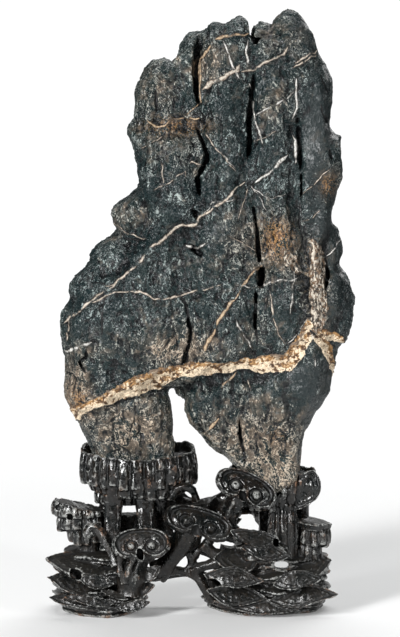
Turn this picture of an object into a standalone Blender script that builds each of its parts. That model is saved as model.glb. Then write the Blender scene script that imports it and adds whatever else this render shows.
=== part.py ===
"""A scholars rock on its carved stand.

The rock is one dark table stone: slabs and pillars grown together, with deep upright crevices and two
legs. The stand is carved from one block of hardwood: two pedestals of stacked ledges, a fluted socket on
each, and openwork roots and lingzhi heads between them. Each leg of the rock rests in its socket.

X runs to the right, Y to the back and Z up. The origin is on the ground under the middle of the object.
Sizes in this script are millimetres, and become metres when a mesh is made.
"""

import math

import bmesh
import bpy
from mathutils import Matrix, Vector, noise

MM = 0.001

# Driving dimensions.
GAP = 0.3  # air between the rock's feet and the wood under them
SOCKET_CLEARANCE = 0.6  # how far the sockets are carved past the skin of the feet
ROCK_VOXEL = 2.4
ROCK_TRIANGLES = 3850
LEFT_SEAT = 119.0  # height of the floor of each socket
RIGHT_SEAT = 104.0
LEFT_SOCKET = (-52.0, 0.0)  # the centre of each socket, in plan
RIGHT_SOCKET = (63.0, 2.0)
BETWEEN_FEET = 10.0  # where the left foot's side ends and the right foot's begins, along X
CLEAR = 90.0  # cutters start and end this far from the middle, well clear of the stone
CLEAR_SIDE = 140.0
UNDER_FEET = 60.0

ROCK_COLOUR = (0.030, 0.032, 0.036)
WOOD_COLOUR = (0.022, 0.012, 0.009)


# Scene, collections and small helpers.


def clear_scene():
    for old in list(bpy.data.objects):
        bpy.data.objects.remove(old, do_unlink=True)


def collection(name):
    made = bpy.data.collections.new(name)
    bpy.context.scene.collection.children.link(made)
    return made


def material(name, colour, roughness):
    made = bpy.data.materials.new(name)
    made.use_nodes = True
    shader = made.node_tree.nodes["Principled BSDF"]
    shader.inputs["Base Color"].default_value = (*colour, 1.0)
    shader.inputs["Roughness"].default_value = roughness
    shader.inputs["Metallic"].default_value = 0.0
    return made


def new_object(name, bm, where):
    """Turns a bmesh in millimetres into an object in metres, with its faces pointing out."""
    bmesh.ops.scale(bm, vec=(MM, MM, MM), verts=bm.verts)
    bmesh.ops.recalc_face_normals(bm, faces=bm.faces)
    mesh = bpy.data.meshes.new(name)
    bm.to_mesh(mesh)
    bm.free()
    made = bpy.data.objects.new(name, mesh)
    where.objects.link(made)
    return made


def loft(name, rings, where):
    """Joins closed rings of equal length into one capped solid."""
    bm = bmesh.new()
    rows = [[bm.verts.new(point) for point in ring] for ring in rings]
    count = len(rows[0])
    for low, high in zip(rows, rows[1:]):
        for i in range(count):
            j = (i + 1) % count
            bm.faces.new((low[i], low[j], high[j], high[i]))
    bm.faces.new(list(reversed(rows[0])))
    bm.faces.new(rows[-1])
    return new_object(name, bm, where)


def baked(source, name, where):
    """Replaces an object by a plain mesh of what its modifiers make."""
    graph = bpy.context.evaluated_depsgraph_get()
    mesh = bpy.data.meshes.new_from_object(source.evaluated_get(graph))
    made = bpy.data.objects.new(name, mesh)
    made.matrix_world = source.matrix_world.copy()
    where.objects.link(made)
    bpy.data.objects.remove(source, do_unlink=True)
    return made


def remesh(target, voxel):
    step = target.modifiers.new("fuse", "REMESH")
    step.mode = "VOXEL"
    step.voxel_size = voxel * MM
    step.adaptivity = 0.0


def smooth(target, factor, repeats):
    step = target.modifiers.new("soften", "SMOOTH")
    step.factor = factor
    step.iterations = repeats


def boolean(target, operation, other):
    """Adds or cuts with one object, or with a collection of them."""
    step = target.modifiers.new(operation.lower(), "BOOLEAN")
    step.operation = operation
    step.solver = "EXACT"
    if isinstance(other, bpy.types.Collection):
        step.operand_type = "COLLECTION"
        step.collection = other
    else:
        step.object = other


def keep_largest(piece):
    """Drops the crumbs that a cut can leave beside the main body."""
    bm = bmesh.new()
    bm.from_mesh(piece.data)
    bm.verts.ensure_lookup_table()
    bodies, met = [], set()
    for start in bm.verts:
        if start in met:
            continue
        body, waiting = [], [start]
        met.add(start)
        while waiting:
            vertex = waiting.pop()
            body.append(vertex)
            for edge in vertex.link_edges:
                other = edge.other_vert(vertex)
                if other not in met:
                    met.add(other)
                    waiting.append(other)
        bodies.append(body)
    bodies.sort(key=len)
    for crumb in bodies[:-1]:
        bmesh.ops.delete(bm, geom=crumb, context="VERTS")
    bm.to_mesh(piece.data)
    bm.free()


def as_cutter(piece):
    piece.hide_render = True
    piece.display_type = "WIRE"
    return piece


# The rock. Each lobe is drawn from the front as (x, z), and has the depth of its front and its back and
# how far its edges are rounded.

LOBES = {
    # The slabs of the upper half, left to right.
    "upper_core": (-20, 22, 8, [(-42, 459), (-12, 476), (14, 485), (44, 488), (74, 502), (96, 473),
                                (105, 421), (110, 353), (104, 299), (44, 275), (-34, 310), (-46, 370),
                                (-50, 430)]),
    "left_crown": (-34, 28, 12, [(-58, 446), (-52, 465), (-42, 479), (-30, 480), (-16, 470), (-15, 434),
                                 (-16, 408), (-29, 396), (-46, 404), (-55, 423)]),
    "finger": (-27, 26, 8, [(-20, 475), (-16, 489), (-9, 500), (2, 502), (9, 492), (2, 460), (-2, 430),
                            (-8, 413), (-20, 417), (-23, 443)]),
    "left_cheek": (-40, 32, 13, [(-62, 418), (-55, 427), (-34, 423), (-5, 421), (1, 404), (2, 370),
                                 (0, 340), (-29, 331), (-49, 348), (-54, 383), (-60, 404)]),
    "left_pillar": (-44, 22, 12, [(5, 486), (6, 504), (13, 510), (20, 505), (27, 511), (35, 517),
                                  (44, 511), (44, 490), (43, 439), (43, 387), (40, 344), (34, 314),
                                  (14, 318), (5, 361), (3, 413), (1, 445), (3, 468)]),
    "centre_pillar": (-41, 24, 10, [(47, 487), (54, 502), (63, 486), (73, 473), (79, 430), (80, 370),
                                    (77, 327), (65, 318), (52, 331), (47, 370), (47, 439)]),
    "spire": (-36, 26, 13, [(58, 474), (60, 496), (66, 512), (74, 522), (85, 518), (97, 504), (103, 486),
                            (106, 460), (102, 428), (74, 420), (59, 439)]),
    "back_nub": (-4, 26, 7, [(46, 480), (47, 500), (53, 509), (61, 509), (66, 496), (64, 476)]),
    "plate": (-35, 26, 7, [(84, 463), (92, 473), (104, 473), (110, 445), (111, 415), (118, 396),
                           (120, 370), (113, 342), (106, 316), (91, 308), (87, 330), (86, 370),
                           (86, 430)]),
    "plate_rib": (-24, 16, 5, [(105, 473), (111, 460), (114, 435), (114, 426), (109, 418), (105, 435),
                               (101, 459)]),
    "plate_shoulder": (-27, 20, 7, [(112, 410), (120, 413), (123, 396), (124, 378), (120, 359),
                                    (114, 347), (108, 361), (108, 396)]),
    # The swelling body of the lower half.
    "lower_core": (-33, 32, 12, [(-107, 267), (-77, 304), (-16, 325), (52, 325), (113, 299), (124, 267),
                                 (116, 206), (87, 185), (44, 185), (-1, 199), (-34, 193), (-106, 187)]),
    "beak": (-30, 24, 11, [(-76, 347), (-68, 354), (-57, 361), (-42, 363), (-27, 348), (-28, 329),
                          (-42, 320), (-59, 325), (-70, 332)]),
    "left_shoulder": (-33, 28, 13, [(-95, 304), (-88, 318), (-77, 325), (-59, 324), (-42, 314),
                                    (-44, 288), (-68, 275), (-89, 284), (-96, 296)]),
    "flank": (-42, 36, 17, [(-119, 253), (-112, 282), (-99, 292), (-68, 303), (-44, 332), (-24, 345),
                            (-9, 322), (-9, 267), (-11, 224), (-18, 206), (-59, 186), (-92, 168),
                            (-106, 172), (-115, 196), (-115, 222), (-119, 239)]),
    "breast": (-45, 36, 15, [(-14, 300), (-2, 340), (12, 392), (24, 404), (35, 380), (46, 332),
                             (52, 290), (50, 228), (27, 210), (-4, 208), (-7, 249)]),
    "waist": (-27, 28, 12, [(-66, 300), (-70, 330), (-56, 352), (-20, 372), (10, 360), (4, 300),
                            (-40, 284)]),
    "right_ribs": (-43, 34, 8, [(54, 330), (62, 352), (74, 362), (86, 335), (90, 267), (88, 236),
                                (67, 225), (56, 240), (56, 280)]),
    "rough_band": (-37, 30, 7, [(88, 320), (104, 325), (109, 292), (107, 245), (95, 234), (87, 258)]),
    "upper_knob": (-26, 22, 8, [(106, 323), (115, 335), (122, 323), (124, 310), (118, 298),
                                (106, 299)]),
    "middle_knob": (-34, 28, 9, [(106, 298), (117, 303), (124, 294), (128, 277), (122, 256), (108, 255),
                                 (104, 279)]),
    "outer_knob": (-28, 26, 8, [(120, 288), (126, 291), (132, 275), (132, 255), (127, 237), (119, 225),
                                (113, 236), (114, 267)]),
    "hip": (-41, 34, 15, [(87, 241), (104, 248), (120, 234), (117, 211), (113, 189), (101, 174),
                          (87, 155), (61, 155), (48, 189), (54, 211), (74, 219)]),
    # The two legs, and the thin bridge of stone over the gap between them.
    "left_leg": (-35, 32, 14, [(-109, 179), (-77, 193), (-42, 201), (-27, 196), (-26, 172), (-22, 146),
                               (-23, 124), (-30, 108), (-85, 108), (-92, 127), (-95, 144),
                               (-102, 158)]),
    "right_leg": (-37, 32, 12, [(-11, 194), (1, 206), (35, 210), (78, 213), (104, 187), (92, 157),
                                (89, 138), (86, 116), (80, 100), (72, 92), (64, 97), (52, 112),
                                (34, 124), (15, 138), (5, 146), (-4, 163), (-9, 179)]),
    "bridge": (-14, 24, 5, [(-22, 222), (-8, 213), (-9, 197), (-16, 193), (-25, 198)]),
    # What the back has of its own: ribs that lean the other way.
    "back_ridge": (-5, 44, 12, [(-30, 440), (-14, 462), (4, 450), (14, 380), (22, 300), (10, 240),
                                (-16, 232), (-30, 290), (-34, 370)]),
    "back_slab": (-5, 40, 9, [(34, 470), (52, 486), (70, 474), (78, 400), (92, 320), (84, 250),
                              (58, 232), (42, 300), (36, 390)]),
    "back_swell": (0, 48, 14, [(-98, 262), (-80, 286), (-44, 292), (-22, 262), (-26, 214), (-56, 190),
                               (-92, 200)]),
    "back_heel": (0, 46, 12, [(36, 258), (70, 268), (104, 240), (100, 196), (66, 170), (34, 184)]),
}

# Upright crevices, as lines seen from the front: the line's width and the depth that it reaches, then
# its points.
CREVICES = {
    "black_slit": (4.5, -14, [(-1, 490), (-2, 474), (-2, 455), (1, 430)]),
    "peak_gap": (5.0, 30, [(45, 520), (45, 505), (46, 490)]),
    "crown_gap": (5.0, -8, [(-20, 480), (-21, 462), (-20, 436)]),
    "finger_gap": (5.0, 0, [(5, 512), (7, 496), (4, 474)]),
    "pillar_slit": (4.5, -20, [(46, 480), (45, 447), (43, 417), (45, 383), (44, 348)]),
    "cheek_slit": (5.5, -20, [(-3, 418), (4, 402), (6, 391), (2, 377), (0, 366), (3, 344)]),
    "plate_slit": (4.0, -22, [(83, 442), (84, 408), (86, 387), (87, 361), (85, 332)]),
    "long_slit": (4.5, -34, [(44, 348), (49, 331), (52, 310), (53, 284), (49, 262), (48, 247),
                             (51, 222)]),
    "dark_hole": (7.5, -30, [(53, 297), (54, 278)]),
    "central_crack": (4.0, -26, [(-14, 282), (-10, 256), (-8, 241), (-10, 224), (-13, 196)]),
    "flank_crack": (3.5, -40, [(-79, 273), (-83, 256), (-83, 232)]),
    "edge_crack": (3.5, -28, [(-96, 230), (-98, 215), (-97, 199)]),
    "leg_crack": (4.0, -26, [(36, 168), (35, 152), (40, 137), (40, 120)]),
    "knob_crack": (4.0, -24, [(107, 306), (110, 290), (107, 268)]),
    "band_crack": (3.5, -34, [(88, 318), (94, 299), (96, 282)]),
}
BACK_CREVICES = {
    "back_slit": (4.5, 26, [(26, 470), (28, 420), (34, 350), (32, 290), (28, 236)]),
    "back_split": (4.0, 24, [(-36, 420), (-40, 350), (-34, 300), (-30, 262)]),
    "back_groove": (4.0, 26, [(86, 440), (92, 380), (100, 300)]),
}
# (height, thickness) of the stone: full at the belly, thinner at the feet and the top.
SWELL = ((100, 0.80), (150, 0.86), (190, 1.05), (255, 1.22), (330, 1.08), (420, 0.92), (480, 0.78),
         (520, 0.58))
BEND = 9.0  # how far the whole slab wanders to the front and the back
BEND_WIDE = 160.0  # the size of those wanderings, across and upright
BEND_TALL = 120.0
SOCKETED = 20.0  # how much of the feet the sockets hide: the bend starts above it
BEND_FADE = 60.0
# Each roughness of the skin: how high it stands, and its size across and upright.
FURROWS = (2.6, 13.0, 70.0)
LUMPS = (2.4, 26.0, 34.0)
FACETS = (1.8, 24.0, 46.0)
FACET_EDGE = 0.35  # the share of a facet that its bevelled edge takes


def lobe(name, front, back, rounding, outline, where):
    """A cushion-edged slab: the outline, drawn in towards its middle at the front and the back."""
    middle_x = (min(x for x, z in outline) + max(x for x, z in outline)) / 2
    middle_z = (min(z for x, z in outline) + max(z for x, z in outline)) / 2
    half_x = max(x for x, z in outline) - middle_x
    half_z = max(z for x, z in outline) - middle_z
    rings = []
    for share, drawn_in in ((0.0, 1.0), (0.1, 0.45), (0.3, 0.0), (0.7, 0.0), (0.9, 0.45), (1.0, 1.0)):
        keep_x = 1 - drawn_in * min(rounding / half_x, 0.7)
        keep_z = 1 - drawn_in * min(rounding / half_z, 0.7)
        y = front + (back - front) * share
        rings.append([(middle_x + (x - middle_x) * keep_x, y, middle_z + (z - middle_z) * keep_z)
                      for x, z in outline])
    return loft(name, rings, where)


def crevice(name, width, clear, reach, line, where):
    """A blade along a line seen from the front, as wide as the crevice and pointed at both ends."""
    points = [Vector(p) for p in line]
    left, right = [], []
    for i, point in enumerate(points):
        before = points[max(i - 1, 0)]
        after = points[min(i + 1, len(points) - 1)]
        along = (after - before).normalized()
        across = Vector((-along.y, along.x))
        half = width * (0.16 if i in (0, len(points) - 1) else 0.5)
        left.append(point + across * half)
        right.append(point - across * half)
    outline = left + right[::-1]
    rings = [[(p.x, y, p.y) for p in outline] for y in (clear, reach)]
    return as_cutter(loft(name, rings, where))


def stone_relief(point):
    """How far the stone's skin stands out: upright furrows, lumps and broken facets."""
    x, y, z = point / MM
    high, wide, tall = FURROWS
    furrows = high * noise.noise(Vector((x / wide, y / wide, z / tall)))
    high, wide, tall = LUMPS
    lumps = high * noise.noise(Vector((x / wide, y / wide + 7, z / tall)))
    high, wide, tall = FACETS
    near, far = noise.voronoi(Vector((x / wide, y / wide, z / tall)))[0][:2]
    facets = high * (min(far - near, FACET_EDGE) / FACET_EDGE - 1)
    return furrows + lumps + facets


def swell(height):
    """How thick the stone is at a height, as a share of the depths in LOBES."""
    for (low, low_share), (high, high_share) in zip(SWELL, SWELL[1:]):
        if height <= high:
            along = max(0.0, (height - low) / (high - low))
            return low_share + (high_share - low_share) * along * along * (3 - 2 * along)
    return SWELL[-1][1]


def roughen(stone):
    """Swells the stone to its thickness and moves its skin in and out by the relief there."""
    normals = [normal.vector.copy() for normal in stone.data.vertex_normals]
    moved = []
    for vertex, normal in zip(stone.data.vertices, normals):
        point = vertex.co + normal * stone_relief(vertex.co) * MM
        spot = Vector((vertex.co.x / (BEND_WIDE * MM), 3.1, vertex.co.z / (BEND_TALL * MM)))
        free = min(1.0, max(0.0, (vertex.co.z / MM - LEFT_SEAT - SOCKETED) / BEND_FADE))
        point.y = point.y * swell(point.z / MM) + noise.noise(spot) * BEND * MM * free
        moved.append(point)
    stone.data.vertices.foreach_set("co", [value for point in moved for value in point])
    stone.data.update()


def build_rock(parts, scratch, cutters):
    slab_set = collection("slabs")
    slabs = [lobe(name, *facts, slab_set) for name, facts in LOBES.items()]
    stone = slabs[0]
    slab_set.objects.unlink(stone)
    scratch.objects.link(stone)
    blade_set = collection("crevice_blades")
    for name, (width, reach, line) in CREVICES.items():
        crevice(name, width, -CLEAR, reach, line, blade_set)
    for name, (width, reach, line) in BACK_CREVICES.items():
        crevice(name, width, CLEAR, reach, line, blade_set)
    boolean(stone, "UNION", slab_set)
    boolean(stone, "DIFFERENCE", blade_set)
    remesh(stone, ROCK_VOXEL)
    smooth(stone, 0.5, 3)
    stone = baked(stone, "rock_fused", scratch)
    for slab in slabs[1:]:
        bpy.data.objects.remove(slab, do_unlink=True)

    roughen(stone)
    thin = stone.modifiers.new("thin", "DECIMATE")
    stone.data.calc_loop_triangles()
    thin.ratio = ROCK_TRIANGLES / len(stone.data.loop_triangles)
    stone = baked(stone, "rock_thin", scratch)

    for name, left, right, seat in (("below_the_foot", -CLEAR_SIDE, BETWEEN_FEET, LEFT_SEAT),
                                    ("below_the_tip", BETWEEN_FEET, CLEAR_SIDE, RIGHT_SEAT)):
        cutter = box(name, (left, -CLEAR, UNDER_FEET), (right, CLEAR, seat + GAP), cutters)
        boolean(stone, "DIFFERENCE", as_cutter(cutter))
    stone = baked(stone, "rock", parts)
    keep_largest(stone)
    return stone


def box(name, low, high, where):
    rings = [[(low[0], low[1], z), (high[0], low[1], z), (high[0], high[1], z), (low[0], high[1], z)]
             for z in (low[2], high[2])]
    return loft(name, rings, where)


# The stand. Every shape below is united into one solid, because it is all carved from one block.


def plan_ring(centre, radii, height, points):
    """A closed ring in plan: points gives (angle in degrees, share of the radius)."""
    ring = []
    for angle, share in points:
        turn = math.radians(angle)
        ring.append((centre[0] + radii[0] * share * math.cos(turn),
                     centre[1] + radii[1] * share * math.sin(turn), height))
    return ring


def flutes(count, depth):
    """The plan of a fluted wall: a point on each flute's crest and one in each groove."""
    step = 180 / count
    return [(i * step, 1.0 if i % 2 == 0 else 1.0 - depth) for i in range(2 * count)]


def fluted_drum(name, centre, radii, low, high, count, depth, where, foot=1.0):
    """A drum with upright flutes; foot scales its lower end."""
    rings = [plan_ring(centre, (radii[0] * foot, radii[1] * foot), low, flutes(count, depth)),
             plan_ring(centre, radii, high, flutes(count, depth))]
    return loft(name, rings, where)


def ledge(name, centre, radii, low, high, shares, turn, where, lean=(0.0, 0.0)):
    """A carved rock ledge: undercut below, with a sharp rim and a top that falls away a little."""
    step = 360 / len(shares)
    around = [(turn + i * step, share) for i, share in enumerate(shares)]
    middle = low + (high - low) * 0.62
    rings = []
    for height, scale in ((low, 0.84), (middle, 1.0), (high, 0.93)):
        shift = (height - low) / (high - low)
        moved = (centre[0] + lean[0] * shift, centre[1] + lean[1] * shift)
        rings.append(plan_ring(moved, (radii[0] * scale, radii[1] * scale), height, around))
    return loft(name, rings, where)


def post(name, low_centre, high_centre, radii, low, high, where, waist=0.86, sides=7):
    """A pillar between two heights, narrower at its waist."""
    around = [(i * 360 / sides, 1.0 if i % 2 else 0.9) for i in range(sides)]
    rings = []
    for share, scale in ((0.0, 1.12), (0.5, waist), (1.0, 1.1)):
        centre = (low_centre[0] + (high_centre[0] - low_centre[0]) * share,
                  low_centre[1] + (high_centre[1] - low_centre[1]) * share)
        rings.append(plan_ring(centre, (radii[0] * scale, radii[1] * scale),
                               low + (high - low) * share, around))
    return loft(name, rings, where)


def root(name, points, thickness, where, sides=6):
    """A branching root: a tube along a few points, each (x, y, z), thinner towards its ends."""
    path = [Vector(p) for p in points]
    rings = []
    for i, point in enumerate(path):
        along = (path[min(i + 1, len(path) - 1)] - path[max(i - 1, 0)]).normalized()
        side = along.cross(Vector((0, 1, 0)))
        side = side.normalized() if side.length > 0.1 else Vector((1, 0, 0))
        up = side.cross(along)
        reach = thickness * (0.85 if i in (0, len(path) - 1) else 1.0)
        rings.append([tuple(point + (side * math.cos(t) + up * 1.25 * math.sin(t)) * reach)
                      for t in (math.tau * k / sides for k in range(sides))])
    return loft(name, rings, where)


def lingzhi(name, centre, size, tilt, lean, where):
    """A lingzhi head: a kidney cap with a raised rim and two beads, tipped to the front.

    size is (half width, half depth, thickness), tilt tips the cap forward and lean turns it clockwise,
    both in degrees.
    """
    wide, deep, thick = size
    place = (Matrix.Translation(centre) @ Matrix.Rotation(math.radians(lean), 4, "Y")
             @ Matrix.Rotation(math.radians(tilt), 4, "X"))
    around = []
    for i in range(16):
        t = math.tau * i / 16
        notch = 0.24 * max(0.0, math.cos(t + math.pi / 2)) ** 6
        around.append((math.cos(t) * (1 - notch), math.sin(t) * (1 - notch)))
    pieces = []
    sections = ((-thick, 0.55), (-thick * 0.4, 0.95), (0.0, 1.0), (thick * 0.35, 0.88), (0.0, 0.74))
    rings = [[place @ Vector((wide * scale * c, deep * scale * s, height)) for c, s in around]
             for height, scale in sections]
    pieces.append(loft(name, rings, where))
    for side in (-1, 1):
        bm = bmesh.new()
        bmesh.ops.create_uvsphere(bm, u_segments=8, v_segments=5, radius=thick * 0.62)
        spot = place @ Matrix.Translation((side * wide * 0.4, -deep * 0.35, thick * 0.05))
        bmesh.ops.transform(bm, matrix=spot, verts=bm.verts)
        pieces.append(new_object(name + "_bead", bm, where))
    return pieces


def notched(bowl, outline, where):
    """Cuts a bowl's front wall to an outline seen from the front as (x, z)."""
    rings = [[(px, y, pz) for px, pz in outline] for y in (-CLEAR, -12)]
    wedge = as_cutter(loft("notch", rings, where))
    boolean(bowl, "DIFFERENCE", wedge)
    cut = baked(bowl, bowl.name, where)
    bpy.data.objects.remove(wedge, do_unlink=True)
    return cut


def carve_left_pedestal(where):
    pieces = []
    x, y = LEFT_SOCKET
    # The fluted socket in two tiers.
    pieces.append(fluted_drum("socket_rim", (x, y), (52, 41), 115, 138, 28, 0.08, where, 0.97))
    pieces.append(fluted_drum("socket_tier", (x, y), (40, 31), 99, 117, 20, 0.10, where, 0.80))
    # Pillars around an open middle.
    for low, high, radii, foot, head in (
        ((-76, -26), (-73, -22), (9, 8), 58, 104),
        ((-45, -28), (-47, -22), (9, 8), 52, 104),
        ((-26, -4), (-34, -2), (8, 9), 52, 104),
        ((-84, 4), (-76, 4), (9, 9), 52, 104),
        ((-42, 24), (-42, 18), (10, 8), 50, 104),
        ((-82, 26), (-77, 18), (9, 8), 50, 104),
        ((-60, 26), (-62, 26), (12, 8), 50, 79),
    ):
        pieces.append(post("pillar", low, high, radii, foot, head, where))
    # The stepped and fluted bracket at the far left.
    pieces.append(fluted_drum("bracket_top", (-103, -8), (26, 21), 83, 94, 14, 0.10, where))
    pieces.append(fluted_drum("bracket_step", (-99, -8), (21, 17), 72, 85, 12, 0.10, where, 0.95))
    pieces.append(fluted_drum("bracket_foot", (-95, -8), (15, 13), 52, 74, 10, 0.12, where, 0.9))
    # Rock ledges, from the ground up.
    wavy = (1.0, 0.86, 0.97, 0.84, 1.0, 0.88, 0.95, 0.82, 1.0, 0.9, 0.96, 0.85)
    pieces.append(ledge("ground_ledge", (-86, -6), (44, 58), 0, 17, wavy, 8, where))
    pieces.append(ledge("second_ledge", (-84, -5), (49, 60), 14, 30, wavy[::-1], 20, where))
    pieces.append(ledge("third_ledge", (-84, -2), (48, 56), 27, 43, wavy, 35, where))
    pieces.append(ledge("upper_ledge", (-84, 2), (48, 50), 41, 57, wavy[::-1], 5, where))
    pieces.append(ledge("front_shelf", (-62, -46), (24, 20), 36, 46, wavy, 0, where))
    pieces += lingzhi("front_lingzhi", (-49.5, -52, 64), (25, 14, 7), 58, -3, where)
    pieces.append(root("front_stem", [(-58, -36, 32), (-56, -44, 44), (-49.5, -49.5, 62)], 7, where))
    pieces += lingzhi("back_lingzhi", (-92, 40, 68), (22, 14, 7), -56, 8, where)
    pieces.append(root("back_stem", [(-88, 30, 44), (-90, 34, 58), (-92, 38, 66)], 7, where))
    return pieces


def carve_right_pedestal(where):
    pieces = []
    x, y = RIGHT_SOCKET
    bowl = fluted_drum("socket_bowl", (x, y), (41, 36), 88, 122, 22, 0.09, where, 0.86)
    pieces.append(notched(bowl, [(40, 132), (66, 101), (88, 123), (88, 132)], where))
    pieces.append(fluted_drum("right_block", (94, -6), (12, 18), 91, 121, 10, 0.12, where, 0.85))
    pieces.append(fluted_drum("column", (76, -16), (17, 15), 44, 96, 14, 0.10, where, 0.95))
    for low, high, radii, foot, head in (
        ((26, -14), (30, -12), (8, 8), 46, 94),
        ((24, 14), (30, 12), (8, 8), 42, 94),
        ((60, 24), (60, 20), (10, 8), 46, 94),
        ((90, 14), (86, 12), (9, 9), 46, 94),
    ):
        pieces.append(post("pillar", low, high, radii, foot, head, where))
    pieces.append(fluted_drum("side_bracket", (100, -14), (15, 16), 47, 79, 12, 0.10, where, 0.9))
    wavy = (1.0, 0.88, 0.96, 0.84, 1.0, 0.86, 0.97, 0.83, 0.98, 0.9, 1.0, 0.86)
    pieces.append(ledge("ground_ledge", (56, 2), (60, 50), 0, 15, wavy, 10, where))
    pieces.append(ledge("second_ledge", (62, 3), (54, 50), 12, 26, wavy[::-1], 0, where))
    pieces.append(ledge("third_ledge", (64, 4), (52, 48), 24, 38, wavy, 26, where))
    pieces.append(ledge("upper_ledge", (62, 4), (46, 44), 36, 50, wavy[::-1], 12, where))
    pieces.append(ledge("front_shelf", (52, -24), (28, 24), 48, 64, wavy, 4, where))
    pieces.append(ledge("back_shelf", (66, 26), (30, 18), 48, 60, wavy, 14, where))
    pieces += lingzhi("upper_lingzhi", (40.5, -43, 111), (28, 15, 7), 58, 25, where)
    pieces.append(root("upper_stem", [(30, -22, 62), (26, -28, 82), (33, -34, 101), (40, -41, 110)], 7,
                       where))
    pieces += lingzhi("back_lingzhi", (44, 42, 84), (25, 14, 7), -56, -10, where)
    pieces.append(root("back_stem", [(50, 30, 54), (46, 34, 74), (44, 40, 82)], 7, where))
    return pieces


def carve_openwork(where):
    """The roots and the tilted lingzhi head that join the two pedestals over an open arch."""
    pieces = []
    pieces += lingzhi("middle_lingzhi", (0, -37, 80), (30, 14, 7), 58, 16, where)
    for name, thickness, points in (
        ("head_stem", 6.5, [(-36, -12, 34), (-29, -14, 40), (-18, -20, 56), (-8, -28, 73), (-2, -35, 79)]),
        ("left_link", 4, [(-17, -20, 58), (-9, -16, 50), (-6, -14, 43), (-10, -13, 35)]),
        ("cross_link", 4, [(10, -20, 64), (-2, -16, 52), (-6, -14, 43)]),
        ("arch", 4.5, [(-42, -10, 31), (-24, -12, 35), (-10, -13, 34), (0, -14, 29), (6, -14, 18),
                       (12, -12, 8)]),
        ("low_band", 5, [(-6, -13, 35), (6, -15, 40), (18, -16, 43), (34, -16, 42)]),
        ("rising_band", 5, [(4, -18, 60), (14, -18, 51), (28, -18, 46)]),
        ("head_root", 5, [(8, -28, 74), (22, -24, 69), (36, -22, 63)]),
        ("high_band", 6, [(-26, 6, 104), (-12, 10, 97), (0, 12, 94), (14, 10, 98), (28, 6, 104)]),
        ("neck", 6, [(2, 12, 94), (6, 2, 86), (6, -22, 80)]),
        ("back_band", 4.5, [(-46, 18, 52), (-14, 20, 51), (8, 20, 46), (24, 20, 40), (44, 18, 40)]),
        ("back_arch", 4, [(-44, 14, 26), (-14, 16, 29), (2, 16, 26), (14, 16, 18), (22, 14, 10)]),
        ("back_rise", 4.5, [(-6, 20, 50), (2, 16, 72), (2, 12, 92)]),
    ):
        pieces.append(root(name, points, thickness, where))
    return pieces


def grown_stone(rock, cutters):
    """The stone with its skin moved out by the sockets' clearance, to carve the sockets with."""
    grown = bpy.data.objects.new("grown_stone", rock.data.copy())
    cutters.objects.link(grown)
    normals = [normal.vector.copy() for normal in grown.data.vertex_normals]
    for vertex, normal in zip(grown.data.vertices, normals):
        vertex.co = vertex.co + normal * SOCKET_CLEARANCE * MM
    return as_cutter(grown)


def build_stand(parts, scratch, cutters, rock):
    shapes = collection("stand_shapes")
    carved = carve_left_pedestal(shapes) + carve_right_pedestal(shapes) + carve_openwork(shapes)
    block = carved[0]
    shapes.objects.unlink(block)
    scratch.objects.link(block)
    boolean(block, "UNION", shapes)
    stand = baked(block, "stand_solid", scratch)
    for piece in list(shapes.objects):
        bpy.data.objects.remove(piece, do_unlink=True)
    bpy.data.collections.remove(shapes)

    boolean(stand, "DIFFERENCE", grown_stone(rock, cutters))
    stand = baked(stand, "stand", parts)
    keep_largest(stand)
    return stand


def centre_on_footprint(pieces):
    """Moves the pieces together, so that the origin is under the middle of their box."""
    corners = [piece.matrix_world @ vertex.co for piece in pieces for vertex in piece.data.vertices]
    low = [min(corner[axis] for corner in corners) for axis in range(3)]
    high = [max(corner[axis] for corner in corners) for axis in range(3)]
    shift = Vector((-(low[0] + high[0]) / 2, -(low[1] + high[1]) / 2, -low[2]))
    for piece in pieces:
        piece.data.transform(Matrix.Translation(shift))
    print("moved by, in mm:", [round(value / MM, 2) for value in shift])


def main():
    clear_scene()
    parts = collection("scholars_rock")
    cutters = collection("cutters")
    scratch = collection("working_shapes")
    rock = build_rock(parts, scratch, cutters)
    stand = build_stand(parts, scratch, cutters, rock)
    rock.data.materials.clear()
    rock.data.materials.append(material("dark_stone", ROCK_COLOUR, 0.35))
    stand.data.materials.clear()
    stand.data.materials.append(material("dark_hardwood", WOOD_COLOUR, 0.25))
    centre_on_footprint((rock, stand))
    for piece in (rock, stand):
        for polygon in piece.data.polygons:
            polygon.use_smooth = False
        piece.data.calc_loop_triangles()
        print(piece.name, "triangles:", len(piece.data.loop_triangles))


main()
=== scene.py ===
import math

import bmesh
import bpy
import numpy as np
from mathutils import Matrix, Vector


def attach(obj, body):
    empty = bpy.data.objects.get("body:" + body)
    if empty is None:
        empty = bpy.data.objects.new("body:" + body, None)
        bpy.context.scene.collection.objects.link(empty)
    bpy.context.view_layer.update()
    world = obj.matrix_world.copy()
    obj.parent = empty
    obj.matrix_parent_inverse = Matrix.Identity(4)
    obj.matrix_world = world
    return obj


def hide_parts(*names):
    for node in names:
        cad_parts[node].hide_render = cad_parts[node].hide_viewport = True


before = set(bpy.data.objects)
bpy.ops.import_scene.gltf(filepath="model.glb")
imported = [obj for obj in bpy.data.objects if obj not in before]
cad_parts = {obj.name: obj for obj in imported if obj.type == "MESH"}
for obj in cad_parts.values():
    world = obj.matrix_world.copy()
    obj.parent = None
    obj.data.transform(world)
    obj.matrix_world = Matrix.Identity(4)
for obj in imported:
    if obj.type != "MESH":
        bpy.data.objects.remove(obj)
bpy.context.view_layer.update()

# The stone: one slab of dark limestone, water-worn into upright pillars and wrinkled skin. It is the
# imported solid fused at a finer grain, with furrows, wrinkles and broken facets worked into its skin.

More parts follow.
